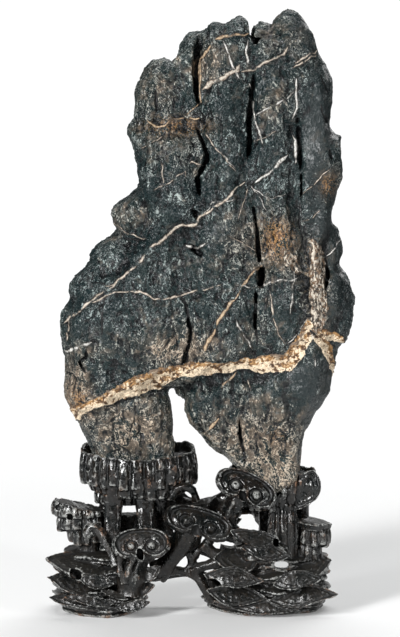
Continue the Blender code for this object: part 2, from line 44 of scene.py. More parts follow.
STONE_CORE = 2.0  # mm, the size of the mesh's cells while its large forms are shaped
STONE_GRAIN = 1.25  # mm, the size of the fused mesh's cells
TRIANGLES_MOST = 196_000  # in one piece
# mm: below the first the feet stand plain in their sockets, above the second the skin is worked in full.
FREE_SKIN = (132.0, 148.0)
BEDDING = math.radians(8)  # how far the stone's layers dip towards the front


def placed(name, data):
    """A new object in the scene, from a mesh, a lamp or a camera."""
    made = bpy.data.objects.new(name, data)
    bpy.context.scene.collection.objects.link(made)
    return made


def mended(mesh, mend):
    """The mesh after mend has worked on its corners and faces."""
    work = bmesh.new()
    work.from_mesh(mesh)
    mend(work)
    work.to_mesh(mesh)
    work.free()
    return mesh


def welded(node, name):
    """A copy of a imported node's loose triangles, with the corners that coincide made one."""
    return placed(name, mended(node.data.copy(), lambda work: bmesh.ops.remove_doubles(
        work, verts=work.verts, dist=1e-6)))


def worked(piece, *steps):
    """Gives the piece each (modifier type, settings) in turn and keeps the mesh that they make."""
    for kind, settings in steps:
        step = piece.modifiers.new(kind.lower(), kind)
        for name, value in settings.items():
            setattr(step, name, value)
    graph = bpy.context.evaluated_depsgraph_get()
    mesh = bpy.data.meshes.new_from_object(piece.evaluated_get(graph))
    piece.modifiers.clear()
    piece.data = mesh
    return piece


def combined(piece, operation, others, *steps):
    """Joins the others to the piece, or cuts them out of it, takes the steps and clears the others away."""
    worked(piece, *(("BOOLEAN", {"operation": operation, "object": other, "solver": "MANIFOLD"})
                    for other in others), *steps)
    for other in others:
        bpy.data.objects.remove(other, do_unlink=True)
    return piece


def thinned(piece):
    """Decimates the piece to the number of triangles that it may have."""
    piece.data.calc_loop_triangles()
    count = len(piece.data.loop_triangles)
    if count > TRIANGLES_MOST:
        worked(piece, ("DECIMATE", {"ratio": TRIANGLES_MOST / count}))


def points_of(piece):
    """The piece's vertices and their normals, as rows of (x, y, z), the vertices in mm."""
    count = len(piece.data.vertices)
    places, normals = np.empty(count * 3), np.empty(count * 3)
    piece.data.vertices.foreach_get("co", places)
    piece.data.vertices.foreach_get("normal", normals)
    return places.reshape(-1, 3) * 1000, normals.reshape(-1, 3)


def put_points(piece, places):
    """Moves the piece's vertices to these places, in mm."""
    piece.data.vertices.foreach_set("co", (places / 1000).ravel())
    piece.data.update()


def circle(count):
    """Angles evenly round a circle."""
    return np.linspace(0, 2 * math.pi, count, endpoint=False)


def ring(x, y, z):
    """The points of a ring, or of a grid. One number stands for a coordinate that is the same all over."""
    return np.stack(np.broadcast_arrays(x, y, z), axis=-1)


def solid_of(rings):
    """A closed solid from rings of points, joined ring to ring. A middle point closes the first ring
    and the last one."""
    rings = np.asarray(rings, float)
    rows, count = rings.shape[:2]
    spots = np.concatenate((rings.reshape(-1, 3), rings[:1].mean(1), rings[-1:].mean(1)))
    row, column = np.meshgrid(np.arange(rows - 1), np.arange(count), indexing="ij")
    one = (row * count + column).ravel()
    two = (row * count + (column + 1) % count).ravel()
    quads = np.stack((one, two, two + count, one + count), axis=-1)
    edge = np.arange(count)
    first = np.stack(((edge + 1) % count, edge, np.full(count, rows * count)), axis=-1)
    top = (rows - 1) * count
    last = np.stack((top + edge, top + (edge + 1) % count, np.full(count, rows * count + 1)), axis=-1)
    return spots, quads.tolist() + first.tolist() + last.tolist()


def object_of(name, solid):
    """An object from (points in mm, faces), with its faces turned to point out."""
    spots, faces = solid
    mesh = bpy.data.meshes.new(name)
    mesh.from_pydata((spots / 1000).tolist(), [], faces)
    return placed(name, mended(mesh, lambda work: bmesh.ops.recalc_face_normals(work, faces=work.faces)))


def scrambled(cell, seed):
    """Whole numbers that look random: each lattice cell's three numbers are multiplied by large primes,
    added up and mixed by shifts."""
    key = cell @ np.array((73856093, 19349663, 83492791)) + seed * 1000003
    key = (key ^ (key >> 13)) * 1274126177
    key = (key ^ (key >> 17)) * 668265263
    return key ^ (key >> 15)


def three_of(key):
    """Three numbers from -1 to 1 out of each scrambled key."""
    return np.stack([((key >> shift) & 1023) / 511.5 - 1 for shift in (0, 10, 20)], axis=-1)


def drift(places, size, seed):
    """Smooth noise from about -1 to 1. Each corner of a lattice of cells of this size has a random
    slope, and the eight slopes round a point are blended by 6t^5 - 15t^4 + 10t^3."""
    scaled = places / np.asarray(size, float)
    cell = np.floor(scaled).astype(np.int64)
    part = scaled - cell
    blend = part**3 * (part * (part * 6 - 15) + 10)
    total = np.zeros(len(scaled))
    for corner in np.ndindex(2, 2, 2):
        corner = np.array(corner)
        slope = three_of(scrambled(cell + corner, seed))
        share = np.prod(np.where(corner == 1, blend, 1 - blend), axis=1)
        total += share * ((part - corner) * slope).sum(1)
    return total * 1.7


def drifts(places, size, *seeds):
    """Smooth noise along as many axes as there are seeds."""
    return np.stack([drift(places, size, seed) for seed in seeds], axis=-1)


def chips(places, size, seed):
    """Broken facets, from about -1 to 1. Space is split into the cells nearest to scattered centres,
    and each cell is a plane through its centre, tipped at random."""
    scaled = places / np.asarray(size, float)
    cell = np.floor(scaled).astype(np.int64)
    nearest = np.full(len(scaled), 9.0)
    plane = np.zeros(len(scaled))
    for step in np.ndindex(3, 3, 3):
        other = cell + np.array(step) - 1
        key = scrambled(other, seed)
        off = scaled - (other + 0.5 + 0.42 * three_of(key))
        gap = (off**2).sum(1)
        closer = gap < nearest
        nearest = np.where(closer, gap, nearest)
        tip = three_of(scrambled(other, seed + 7))
        plane = np.where(closer, (off * tip).sum(1) + 0.5 * tip[:, 0], plane)
    return plane


def soft_step(value, low, high):
    """0 below low, 1 above high, and 3t^2 - 2t^3 between them."""
    t = np.clip((value - low) / (high - low), 0, 1)
    return t * t * (3 - 2 * t)


def seen_from_front(places):
    """Each point as (x, height), moved along the dipping layers to the front face."""
    height = places[:, 2] * math.cos(BEDDING) + places[:, 1] * math.sin(BEDDING)
    return np.stack((places[:, 0], height), axis=-1)


def upright(high, depth):
    """The height in the world of a point at this height on the front view and this far back."""
    return (high - depth * math.sin(BEDDING)) / math.cos(BEDDING)


def dabbed(spots, dabs):
    """The sum of soft round dabs: each (x, height, half width, half height, weight) adds its weight
    times e^-(distance / half size)^2."""
    total = np.zeros(len(spots))
    for x, high, wide, tall, weight in dabs:
        total += weight * np.exp(-((spots[:, 0] - x) / wide) ** 2 - ((spots[:, 1] - high) / tall) ** 2)
    return total


def covered(spots, dabs):
    """The dabs' sum, from 0 to 1."""
    return np.clip(dabbed(spots, dabs), 0, 1)


# Where the skin is ground smooth, where it is furrowed like bark, where brown dust clings to it, and
# where it is rusty: soft dabs as (x, height, half width, half height, weight).
SMOOTH_SKIN = ((100, 410, 16, 60, 1.0), (104, 330, 14, 34, 0.7), (98, 195, 26, 30, 0.9),
               (112, 265, 10, 34, 0.7), (88, 500, 14, 16, 0.6), (114, 310, 9, 14, 0.6),
               (20, 470, 14, 14, 0.35), (20, 330, 14, 18, 0.4), (-62, 300, 16, 12, 0.35))
BARK = ((-60, 155, 38, 26, 1.0), (45, 150, 48, 34, 0.85), (-108, 192, 12, 26, 0.8),
        (-52, 430, 16, 34, 0.5), (60, 240, 22, 40, 0.5), (-5, 450, 14, 40, 0.4))
BROWN_DUST = ((-60, 155, 46, 32, 1.0), (50, 150, 50, 38, 0.85), (68, 118, 34, 22, 0.7),
              (-108, 195, 14, 30, 0.9), (-40, 445, 22, 34, 0.45), (8, 470, 16, 18, 0.8),
              (72, 490, 26, 30, 0.5), (62, 432, 16, 20, 0.6), (-70, 335, 22, 18, 0.45),
              (-15, 225, 26, 26, 0.7), (66, 310, 22, 26, 0.8), (100, 260, 16, 40, 0.6),
              (112, 370, 12, 16, 0.5), (30, 322, 20, 18, 0.5), (-40, 225, 60, 14, 0.5),
              (45, 245, 14, 26, 0.4), (-20, 395, 26, 30, 0.35), (10, 300, 30, 14, 0.3))
RUST = ((66, 318, 12, 16, 1.0), (-106, 180, 10, 12, 0.7), (109, 365, 6, 8, 0.7),
        (-20, 415, 24, 8, 0.6), (98, 285, 9, 24, 0.5), (66, 150, 10, 10, 0.3))


def stone_relief(places):
    """How far the skin stands out, in mm: lumps and broken facets of three sizes, crinkled ridges
    where a stretched noise crosses zero, and a few upright furrows."""
    spots = seen_from_front(places)
    smooth = covered(spots, SMOOTH_SKIN)
    bark = covered(spots, BARK)
    bent = places + 3.0 * drifts(places, (12, 12, 16), 11, 12, 13)
    lumps = 0.5 * drift(bent, (17, 17, 34), 1)
    patchy = soft_step(drift(places, (34, 34, 50), 10) + 0.5 * bark, 0.0, 0.5)
    furrows = -1.3 * patchy * np.clip(1 - np.abs(drift(bent, (10, 10, 46), 2)) / 0.12, 0, 1)
    broken = (1.2 * chips(bent, (15, 15, 24), 4) + 0.5 * chips(bent, (7, 7, 11), 5)
              + 0.35 * chips(bent, (3.6, 3.6, 5.4), 7))
    crinkled = (0.7 * (0.3 - np.abs(drift(bent, (6.5, 6.5, 9), 6)))
                + 0.8 * (0.3 - np.abs(drift(bent, (3.6, 3.6, 5.2), 8))))
    barked = 1.6 * (0.35 - np.abs(drift(bent, (4.4, 4.4, 26), 9)))
    rough = lumps + furrows + broken * (1 - 0.4 * bark) + crinkled + barked * bark
    plain = 0.6 * lumps + 0.12 * broken
    return rough * (1 - smooth) + plain * smooth


# The deep upright clefts between the pillars: how far back each reaches, and its line on the front
# face as (x, height, half width).
CLEFTS = (
    (-4, [(-1, 496, 4.2), (-2, 480, 4.4), (-4, 462, 3.4), (-4, 445, 2.4), (-1, 428, 0.8)]),
    (-12, [(46, 466, 0.8), (45, 455, 1.9), (43, 435, 2.1), (41, 418, 2.2), (42, 404, 2.0),
           (41, 392, 1.6), (40, 377, 0.6)]),
    (-14, [(-5, 417, 0.8), (-2, 410, 1.6), (2, 402, 1.9), (5, 392, 2.4), (4, 383, 3.0), (0, 377, 2.8),
           (-3, 370, 2.2), (-1, 356, 1.4), (1, 344, 0.6)]),
    (-16, [(81, 430, 0.8), (83, 418, 1.5), (84, 405, 1.7), (85, 388, 1.6), (86, 370, 1.5),
           (86, 352, 1.3), (84, 338, 0.6)]),
    (-24, [(41, 356, 0.6), (45, 345, 1.6), (48, 328, 1.7), (49, 312, 1.9), (50, 299, 2.2)]),
    (-22, [(52, 295, 3.6), (52, 286, 3.9), (51, 277, 3.2)]),
    (-26, [(48, 276, 1.2), (47, 262, 1.4), (46, 247, 1.5), (48, 230, 0.7)]),
    (-30, [(-16, 271, 0.7), (-12, 259, 1.2), (-12, 250, 1.3), (-9, 243, 1.5), (-9, 232, 1.5),
           (-12, 222, 1.8), (-13, 214, 2.6), (-14, 205, 3.4)]),
    (-22, [(34, 166, 0.8), (33, 152, 2.0), (37, 137, 2.2), (38, 127, 1.2)]),
    (-30, [(-98, 226, 0.7), (-99, 218, 1.3), (-103, 212, 1.5), (-100, 205, 1.0)]),
    (-22, [(106, 302, 0.8), (109, 290, 1.6), (107, 276, 1.2), (106, 268, 0.6)]),
    (-24, [(-7, 344, 1.6), (-5, 340, 2.2), (-3, 336, 0.8)]),
    (-14, [(-38, 447, 0.7), (-38, 438, 1.5), (-37, 428, 0.6)]),
    (-14, [(-22, 441, 0.7), (-22, 434, 1.5), (-22, 427, 0.6)]),
    (-14, [(110, 398, 0.7), (112, 391, 1.4), (113, 385, 0.6)]),
    (-30, [(-83, 271, 0.5), (-86, 258, 0.9), (-86, 240, 0.5)]),
    (-26, [(-8, 312, 2.6), (-3, 308, 3.2), (2, 304, 2.0)]),
)
CLEFT_MOUTH = -95.0  # a blade starts this far in front
CLEFT_EDGE = 8.0  # mm over which a blade is drawn to an edge


def blade(line, reach):
    """A wedge along the line that leans with the layers: as wide as the cleft at its mouth, and drawn
    to an edge at its reach."""
    line = np.array(line, float)
    along = np.gradient(line[:, :2], axis=0)
    along /= np.linalg.norm(along, axis=1)[:, None]
    side = np.stack((-along[:, 1], along[:, 0]), axis=-1)
    rings = []
    for spread, depth in ((1, CLEFT_MOUTH), (1, reach - CLEFT_EDGE), (0, reach), (-1, reach - CLEFT_EDGE),
                          (-1, CLEFT_MOUTH)):
        x, high = (line[:, :2] + side * (spread * line[:, 2:])).T
        rings.append(ring(x, depth, upright(high, depth)))
    return solid_of(np.swapaxes(rings, 0, 1))


def lump(x, high, depth, half_sizes):
    """An egg-shaped swelling, at (x, height) on the front view and this far back."""
    down = np.linspace(0.06, math.pi - 0.06, 16)[:, None]
    turn = circle(32)
    wide, deep, tall = half_sizes
    return solid_of(ring(x + wide * np.sin(down) * np.cos(turn), depth + deep * np.sin(down) * np.sin(turn),
                         upright(high, depth) + tall * np.cos(down)))


# Small swellings of the stone: the rounded top of its peak, the knob beside it and the dark tooth that
# hangs between its legs.
LUMPS = ((76, 482, -2, (19, 20, 34)), (52, 498, 6, (7, 10, 8)), (-16, 196, 2, (7, 20, 12)),
         (-33.5, 158, 0, (9, 24, 34)))

# Where the outline is pushed in or out: (x, height, half width, half height, mm to the right).
NUDGES = ((-62, 394, 26, 13, 5.0), (-62, 365, 14, 7, 3.0), (-58, 462, 14, 14, 4.5), (-57, 440, 10, 8, 2.5),
          (-105, 287, 20, 8, -5.0), (-118, 268, 12, 6, 4.0), (-114, 182, 14, 9, -5.0), (119, 411, 10, 5, 5.0),
          (118, 360, 16, 10, -3.5), (116, 330, 12, 6, 4.0), (122, 262, 22, 26, 1.0), (-4, 172, 10, 15, -4.5),
          (105, 470, 8, 8, 2.5), (-84, 322, 10, 6, 3.0))
ROLL_CELL = 3.0  # mm, the grid on which the valleys between the pillars are levelled
ROLL_REACH = 6  # cells, half the breadth of a valley that is levelled
ROLL_DEPTH = 5.0  # mm, how deep the rolled bowl is at its rim
ROLL_HEIGHTS = (205, 230)  # mm, the valleys are kept below the first and levelled above the second
FAR_OFF = 200.0  # mm, where a face is taken to lie where there is no stone


def levelled(places, share):
    """Levels the valleys between the pillars, front and back. On a grid, a bowl of depth (r / reach)^2
    is rolled over each face from outside: the most of face - bowl round each cell, then the least of
    that + bowl. Each point of the face that lies deeper rises by this share of the gap."""
    corner = places.min(0)[[0, 2]] - ROLL_CELL * (ROLL_REACH + 2)
    spots = (places[:, [0, 2]] - corner) / ROLL_CELL
    cells = np.floor(spots).astype(int)
    shape = tuple(cells.max(0) + ROLL_REACH + 3)
    faces = []
    for side in (-1, 1):
        face = np.full(shape, -FAR_OFF)
        np.maximum.at(face, tuple(cells.T), side * places[:, 1])
        faces.append(face)
    middle = (faces[1] - faces[0]) / 2
    across = range(-ROLL_REACH, ROLL_REACH + 1)
    steps = [(row, column) for row in across for column in across if math.hypot(row, column) <= ROLL_REACH]
    bowl = [ROLL_DEPTH * math.hypot(*step) ** 2 / ROLL_REACH**2 for step in steps]
    corners = np.floor(spots - 0.5).astype(int)
    part = spots - 0.5 - corners
    made = places.copy()
    for side, face in zip((-1, 1), faces):
        high = np.max([np.roll(face, step, (0, 1)) - low for step, low in zip(steps, bowl)], axis=0)
        rolled = np.min([np.roll(high, step, (0, 1)) + low for step, low in zip(steps, bowl)], axis=0)
        aim = np.zeros(len(places))
        for step in np.ndindex(2, 2):
            weight = np.prod(np.where(step, part, 1 - part), axis=1)
            aim += weight * rolled[tuple((corners + step).T)]
        own = soft_step(side * (places[:, 1] - middle[tuple(cells.T)]), 0, 5)
        gap = np.clip(aim - side * places[:, 1] - 1.0, 0, 30) * soft_step(places[:, 2], *ROLL_HEIGHTS)
        made[:, 1] += side * share * gap * own
    return made


def relieved(piece, relief, low, high):
    """Moves each vertex along its normal by relief(places), in mm: not at all below the height low, and
    in full above high."""
    places, normals = points_of(piece)
    put_points(piece, places + normals * (relief(places) * soft_step(places[:, 2], low, high))[:, None])


stone = combined(welded(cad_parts["rock"], "stone"), "UNION",
                 [object_of("lump", lump(*facts)) for facts in LUMPS],
                 ("REMESH", {"mode": "VOXEL", "voxel_size": STONE_CORE / 1000}))
places = levelled(points_of(stone)[0], 0.8)
places[:, 0] += dabbed(seen_from_front(places), NUDGES)
put_points(stone, places)
combined(stone, "DIFFERENCE", [object_of("cleft", blade(line, reach)) for reach, line in CLEFTS],
         ("REMESH", {"mode": "VOXEL", "voxel_size": STONE_GRAIN / 1000}),
         ("SMOOTH", {"factor": 0.5, "iterations": 4}))
relieved(stone, stone_relief, *FREE_SKIN)

# The veins: calcite and iron-stained quartz that run through the stone as sheets, and hairline cracks.
# Each is drawn as it crosses the front face: its kind, half its width, and its (x, height) points in mm.
# The broad one has its own half width at each point.

BROAD_VEINS = (
    ("broad", (-108, 170, 5.6), (-95, 176, 4.1), (-82, 181, 5.2), (-68, 188, 7.1), (-53, 194, 7.9),
     (-37, 199, 8.6), (-27, 203, 6.9), (-15, 206, 5.2)),
    ("broad", (-11, 207, 6.5), (4, 208, 6.0), (20, 209, 4.3), (42, 212, 5.2), (54, 212, 7.7), (73, 213, 7.7),
     (83, 224, 6.9), (89, 234, 6.9), (95, 243, 7.7)),
    ("crumbled", (96, 316, 3.4), (98, 310, 5.2), (101, 299, 6.0), (99, 284, 6.5), (102, 261, 6.9),
     (101, 252, 7.7), (96, 241, 8.6)),
    ("crumbled", (70, 309, 2.6), (77, 300, 5.0), (84, 291, 2.8)),
    ("broad", (101, 236, 5.2), (108, 224, 4.3), (113, 213, 3.0), (114, 204, 1.7)),
    ("broad", (102, 237, 6.0), (114, 235, 4.3), (122, 233, 2.6)),
)
THIN_VEINS = (
    ("tan", 2.1, [(1, 445), (9, 452), (20, 457), (30, 463), (34, 468)]),
    ("tan", 1.3, [(34, 462), (45, 464), (53, 468), (62, 472), (71, 476), (74, 484)]),
    ("gold", 1.3, [(10, 487), (18, 492), (30, 493), (42, 494)]),
    ("gold", 1.1, [(10, 487), (4, 477), (-1, 473), (-1, 456), (-1, 442), (0, 435)]),
    ("white", 0.9, [(19, 488), (23, 477), (28, 464), (37, 452)]),
    ("white", 0.9, [(40, 489), (39, 477), (40, 465)]),
    ("white", 0.9, [(42, 452), (44, 439), (46, 424), (49, 413), (53, 399)]),
    ("white", 1.1, [(47, 424), (57, 430), (66, 435), (74, 439), (77, 444), (81, 446)]),
    ("white", 0.9, [(82, 456), (82, 445), (81, 431), (78, 419)]),
    ("white", 1.3, [(78, 408), (81, 404), (82, 394), (80, 383)]),
    ("tan", 0.5, [(45, 403), (56, 406), (66, 411)]),
    ("white", 1.2, [(45, 365), (52, 371), (57, 374), (66, 383), (75, 390)]),
    ("tan", 0.9, [(81, 470), (90, 475), (101, 481)]),
    ("tan", 0.9, [(78, 466), (88, 471), (99, 477)]),
    ("gold", 0.9, [(-24, 422), (-13, 422), (-1, 422)]),
    ("gold", 0.8, [(-13, 422), (-8, 429), (-1, 435)]),
    ("gold", 0.9, [(-46, 420), (-39, 415), (-31, 415), (-24, 422)]),
    ("tan", 0.6, [(-51, 396), (-41, 402), (-32, 407)]),
    ("tan", 0.5, [(-33, 384), (-33, 372), (-32, 366)]),
    ("tan", 0.5, [(-40, 360), (-31, 365), (-22, 370), (-14, 377)]),
    ("tan", 0.8, [(-13, 372), (-13, 379), (-8, 384), (-3, 383), (3, 382)]),
    ("tan", 0.6, [(-1, 419), (2, 411), (7, 404), (13, 396), (22, 386), (30, 376)]),
    ("white", 0.6, [(15, 395), (24, 385), (30, 378)]),
    ("tan", 1.3, [(38, 367), (33, 364), (25, 356), (20, 352), (9, 344), (-1, 337), (-5, 332),
                  (-16, 330), (-22, 328), (-28, 322), (-37, 314), (-45, 310)]),
    ("tan", 1.1, [(-45, 310), (-51, 301), (-61, 292), (-70, 284), (-76, 277), (-82, 275),
                  (-90, 269), (-103, 259), (-112, 250), (-119, 245)]),
    ("tan", 0.7, [(-113, 249), (-114, 240), (-115, 230)]),
    ("tan", 0.8, [(-97, 263), (-80, 270), (-61, 274), (-51, 274), (-40, 267), (-26, 268),
                  (-14, 272), (0, 275), (9, 277), (17, 280)]),
    ("white", 1.9, [(-117, 222), (-107, 225), (-97, 229), (-93, 230)]),
    ("gold", 1.7, [(2, 221), (9, 234), (16, 250), (23, 261), (29, 267)]),
    ("gold", 1.1, [(29, 267), (37, 280), (41, 287), (47, 292), (54, 297)]),
    ("white", 0.6, [(29, 280), (41, 278), (47, 276)]),
    ("white", 1.1, [(47, 276), (58, 280), (65, 283), (84, 285)]),
    ("white", 0.7, [(80, 296), (80, 284), (78, 280), (78, 267), (77, 254)]),
    ("tan", 0.5, [(59, 275), (62, 252), (66, 236), (72, 229)]),
    ("white", 0.6, [(73, 229), (83, 238), (91, 251)]),
    ("white", 0.7, [(30, 250), (35, 240), (44, 224)]),
    ("gold", 1.3, [(17, 190), (23, 197), (31, 204)]),
    ("gold", 1.7, [(3, 151), (9, 158), (15, 165)]),
    ("tan", 0.6, [(41, 198), (42, 187)]),
    ("white", 0.7, [(97, 209), (99, 218)]),
    ("white", 0.8, [(108, 304), (114, 310), (121, 320)]),
    ("tan", 0.5, [(86, 357), (96, 364), (103, 373), (111, 379)]),
    ("tan", 0.5, [(87, 334), (95, 336), (102, 343)]),
    ("tan", 0.6, [(-71, 281), (-76, 279), (-83, 280)]),
    ("white", 0.5, [(-1, 337), (11, 350), (30, 353)]),
    ("white", 0.5, [(42, 364), (53, 356), (61, 353), (72, 357)]),
    ("white", 0.4, [(43, 364), (50, 354), (56, 342)]),
    ("tan", 0.5, [(40, 362), (36, 351), (34, 341), (31, 334)]),
    ("white", 0.9, [(-14, 313), (-3, 310), (5, 314)]),
    ("tan", 0.5, [(23, 322), (34, 316), (47, 308), (53, 299)]),
    ("tan", 0.5, [(-87, 349), (-71, 329), (-64, 324), (-47, 319)]),
    ("crack", 0.7, [(-81, 271), (-84, 258), (-85, 236)]),
    ("crack", 0.9, [(-98, 225), (-98, 218), (-103, 212), (-100, 206), (-98, 204)]),
    ("crack", 0.6, [(-115, 206), (-107, 200), (-109, 186)]),
    ("crack", 0.6, [(-22, 236), (-19, 225)]),
    ("crack", 0.7, [(-58, 163), (-62, 150)]),
    ("crack", 0.9, [(-15, 269), (-11, 256), (-12, 249), (-8, 243), (-9, 232), (-12, 224),
                    (-13, 215), (-14, 207)]),
    ("crack", 0.9, [(-39, 445), (-38, 428)]),
    ("crack", 0.9, [(-23, 439), (-23, 428)]),
    ("crack", 0.7, [(103, 460), (109, 442)]),
    ("crack", 0.8, [(103, 435), (108, 418)]),
    ("crack", 0.9, [(111, 397), (112, 385)]),
    ("crack", 0.9, [(90, 310), (95, 293)]),
    ("crack", 1.1, [(107, 301), (109, 290), (107, 275)]),
    ("crack", 0.8, [(56, 268), (55, 257)]),
    ("crack", 0.9, [(47, 275), (47, 247), (48, 229)]),
    ("crack", 0.9, [(63, 151), (59, 142)]),
    ("crack", 0.9, [(61, 140), (55, 132)]),
    ("crack", 0.9, [(-4, 342), (-1, 339)]),
    ("crack", 0.7, [(84, 341), (87, 318)]),
    ("crack", 0.6, [(-7, 251), (-6, 239)]),
    ("crack", 0.6, [(-70, 326), (-64, 320), (-54, 318), (-47, 319)]),
)
TONE = {"gold": 0.0, "tan": 0.5, "white": 1.0, "crack": 2.0, "broad": 3.0, "crumbled": 4.0}
BROAD, CRACK = TONE["broad"], TONE["crack"]
TAPER = 7.0  # mm over which a thin vein narrows to its end

segments = []  # start, end, half width at each, length before and after it in its vein, and its tone
for kind, line in [(kind, line) for kind, *line in BROAD_VEINS] + [
        (kind, [(x, high, half) for x, high in line]) for kind, half, line in THIN_VEINS]:
    line = np.array(line, float)
    lengths = np.hypot(*(line[1:, :2] - line[:-1, :2]).T)
    before = np.concatenate(([0], np.cumsum(lengths)))
    for i, length in enumerate(lengths):
        segments.append((line[i, :2], line[i + 1, :2], line[i, 2], line[i + 1, 2],
                         before[i], before[-1] - before[i + 1], TONE[kind]))


def beside(spots, segment):
    """How a point lies to a segment: its signed distance from the segment's line, how far it is past
    the segment's ends, the vein's half width there, which narrows by the square root to a thin
    vein's end, and how far along the vein it is."""
    start, end, half_start, half_end, before, after, tone = segment
    length = np.hypot(*(end - start))
    along_axis = (end - start) / length
    off = spots - start
    along = off @ along_axis
    across = off @ np.array((-along_axis[1], along_axis[0]))
    inside = np.clip(along / length, 0, 1)
    half = half_start + (half_end - half_start) * inside
    left = np.minimum(along + before, length - along + after)
    if tone < BROAD:
        half = half * np.sqrt(np.clip(left / TAPER, 0.02, 1))
    past = np.maximum(np.maximum(-along, along - length), 0)
    return across, past, half, along + before


def nearest_vein(spots):
    """The number of the segment whose edge is nearest to each spot, and the distance to that edge."""
    best = np.full(len(spots), 1e9)
    which = np.zeros(len(spots), int)
    for number, segment in enumerate(segments):
        across, past, half, _ = beside(spots, segment)
        edge = np.hypot(across, past) - half
        closer = edge < best
        best = np.where(closer, edge, best)
        which = np.where(closer, number, which)
    return which, best


def sheet_place(places):
    """Where a point lies on the veins' drawing: the front view, bent more and more towards the back,
    with the small wanderings of a vein in broken stone."""
    depth = soft_step(places[:, 1], -20, 40)[:, None]
    return (seen_from_front(places) + drifts(places, 60, 31, 32) * 14 * depth
            + drifts(places, 11, 33, 34) * 1.5 + drifts(places, 4.6, 35, 36) * 0.7)


def vein_relief(places):
    """How far the veins stand out, in mm: the broad ones by blocks and grains, the thin ones a little,
    and the cracks are sunk."""
    which, edge = nearest_vein(sheet_place(places))
    tones = np.array([segment[6] for segment in segments])[which]
    grainy = drift(places, 3.2, 41) + 0.6 * drift(places, 1.8, 42)
    blocky = chips(places, (9, 9, 5.5), 43)
    broad = tones >= BROAD
    proud = np.where(broad, 0.9 + 1.3 * blocky + 0.8 * grainy, np.where(tones == CRACK, -1.8, 0.45))
    return proud * soft_step(-edge, -0.6, np.where(broad, 0.8, 0.7))


relieved(stone, vein_relief, *FREE_SKIN)
thinned(stone)


def evened(piece, values, rounds):
    """Values on vertices, each averaged with its neighbours' for some rounds."""
    ends = np.empty(len(piece.data.edges) * 2, np.int64)
    piece.data.edges.foreach_get("vertices", ends)
    one, two = ends.reshape(-1, 2).T
    count = len(piece.data.vertices)
    shared = np.maximum(np.bincount(one, minlength=count) + np.bincount(two, minlength=count), 1)
    for _ in range(rounds):
        around = (np.bincount(one, values[two], count) + np.bincount(two, values[one], count)) / shared
        values = (values + around) / 2
    return values


def standing_out(piece, rounds):
    """How far a vertex stands out of the evened skin round it, in mm: ridges are above 0 and hollows
    below it."""
    places, normals = points_of(piece)
    even = np.stack([evened(piece, places[:, axis], rounds) for axis in range(3)], axis=-1)
    return ((places - even) * normals).sum(1)


def attribute(piece, name, kind, domain, values):
    """Keeps values on the piece's points or face corners for its finish to read."""
    made = piece.data.attributes.new(name, kind, domain)
    field = {"FLOAT": "value", "FLOAT_VECTOR": "vector", "FLOAT_COLOR": "color"}[kind]
    made.data.foreach_set(field, np.ascontiguousarray(values, float).ravel())


def mark_ridges(piece, near, far, share):
    """Keeps how far each vertex stands out of the skin near it, plus a share of how far it stands out
    of the skin farther round."""
    attribute(piece, "standing_out", "FLOAT", "POINT",
              np.clip(standing_out(piece, near) + share * standing_out(piece, far), -1.5, 1.5))


def draw_veins(piece):
    """Each face takes the vein nearest to its middle, and each of its corners its place beside that
    vein, so a vein's edge stays sharp across a face."""
    mesh = piece.data
    places, _ = points_of(piece)
    spots = sheet_place(places)
    corners = np.empty(len(mesh.loops), np.int64)
    mesh.loops.foreach_get("vertex_index", corners)
    totals = np.empty(len(mesh.polygons), np.int64)
    mesh.polygons.foreach_get("loop_total", totals)
    face = np.repeat(np.arange(len(totals)), totals)
    middle = np.stack([np.bincount(face, spots[corners, axis]) / totals for axis in (0, 1)], axis=-1)
    which, _ = nearest_vein(middle)
    place, kind = np.zeros((len(corners), 3)), np.zeros((len(corners), 3))
    for number in np.unique(which):
        mine = which[face] == number
        across, past, half, along = beside(spots[corners[mine]], segments[number])
        place[mine] = np.stack((across, past, half), axis=-1)
        kind[mine, 0] = segments[number][6]
        kind[mine, 1] = along
    attribute(piece, "vein_place", "FLOAT_VECTOR", "CORNER", place)
    attribute(piece, "vein_kind", "FLOAT_VECTOR", "CORNER", kind)


draw_veins(stone)
places, _ = points_of(stone)
spots = seen_from_front(places)
to_front = 0.45 + 0.55 * soft_step(-places[:, 1], -45, -10)
attribute(stone, "skin", "FLOAT_COLOR", "POINT", np.stack((
    covered(spots, BROWN_DUST), covered(spots, SMOOTH_SKIN), covered(spots, RUST) * to_front,
    np.ones(len(places))), axis=-1))
mark_ridges(stone, 5, 24, 0.5)


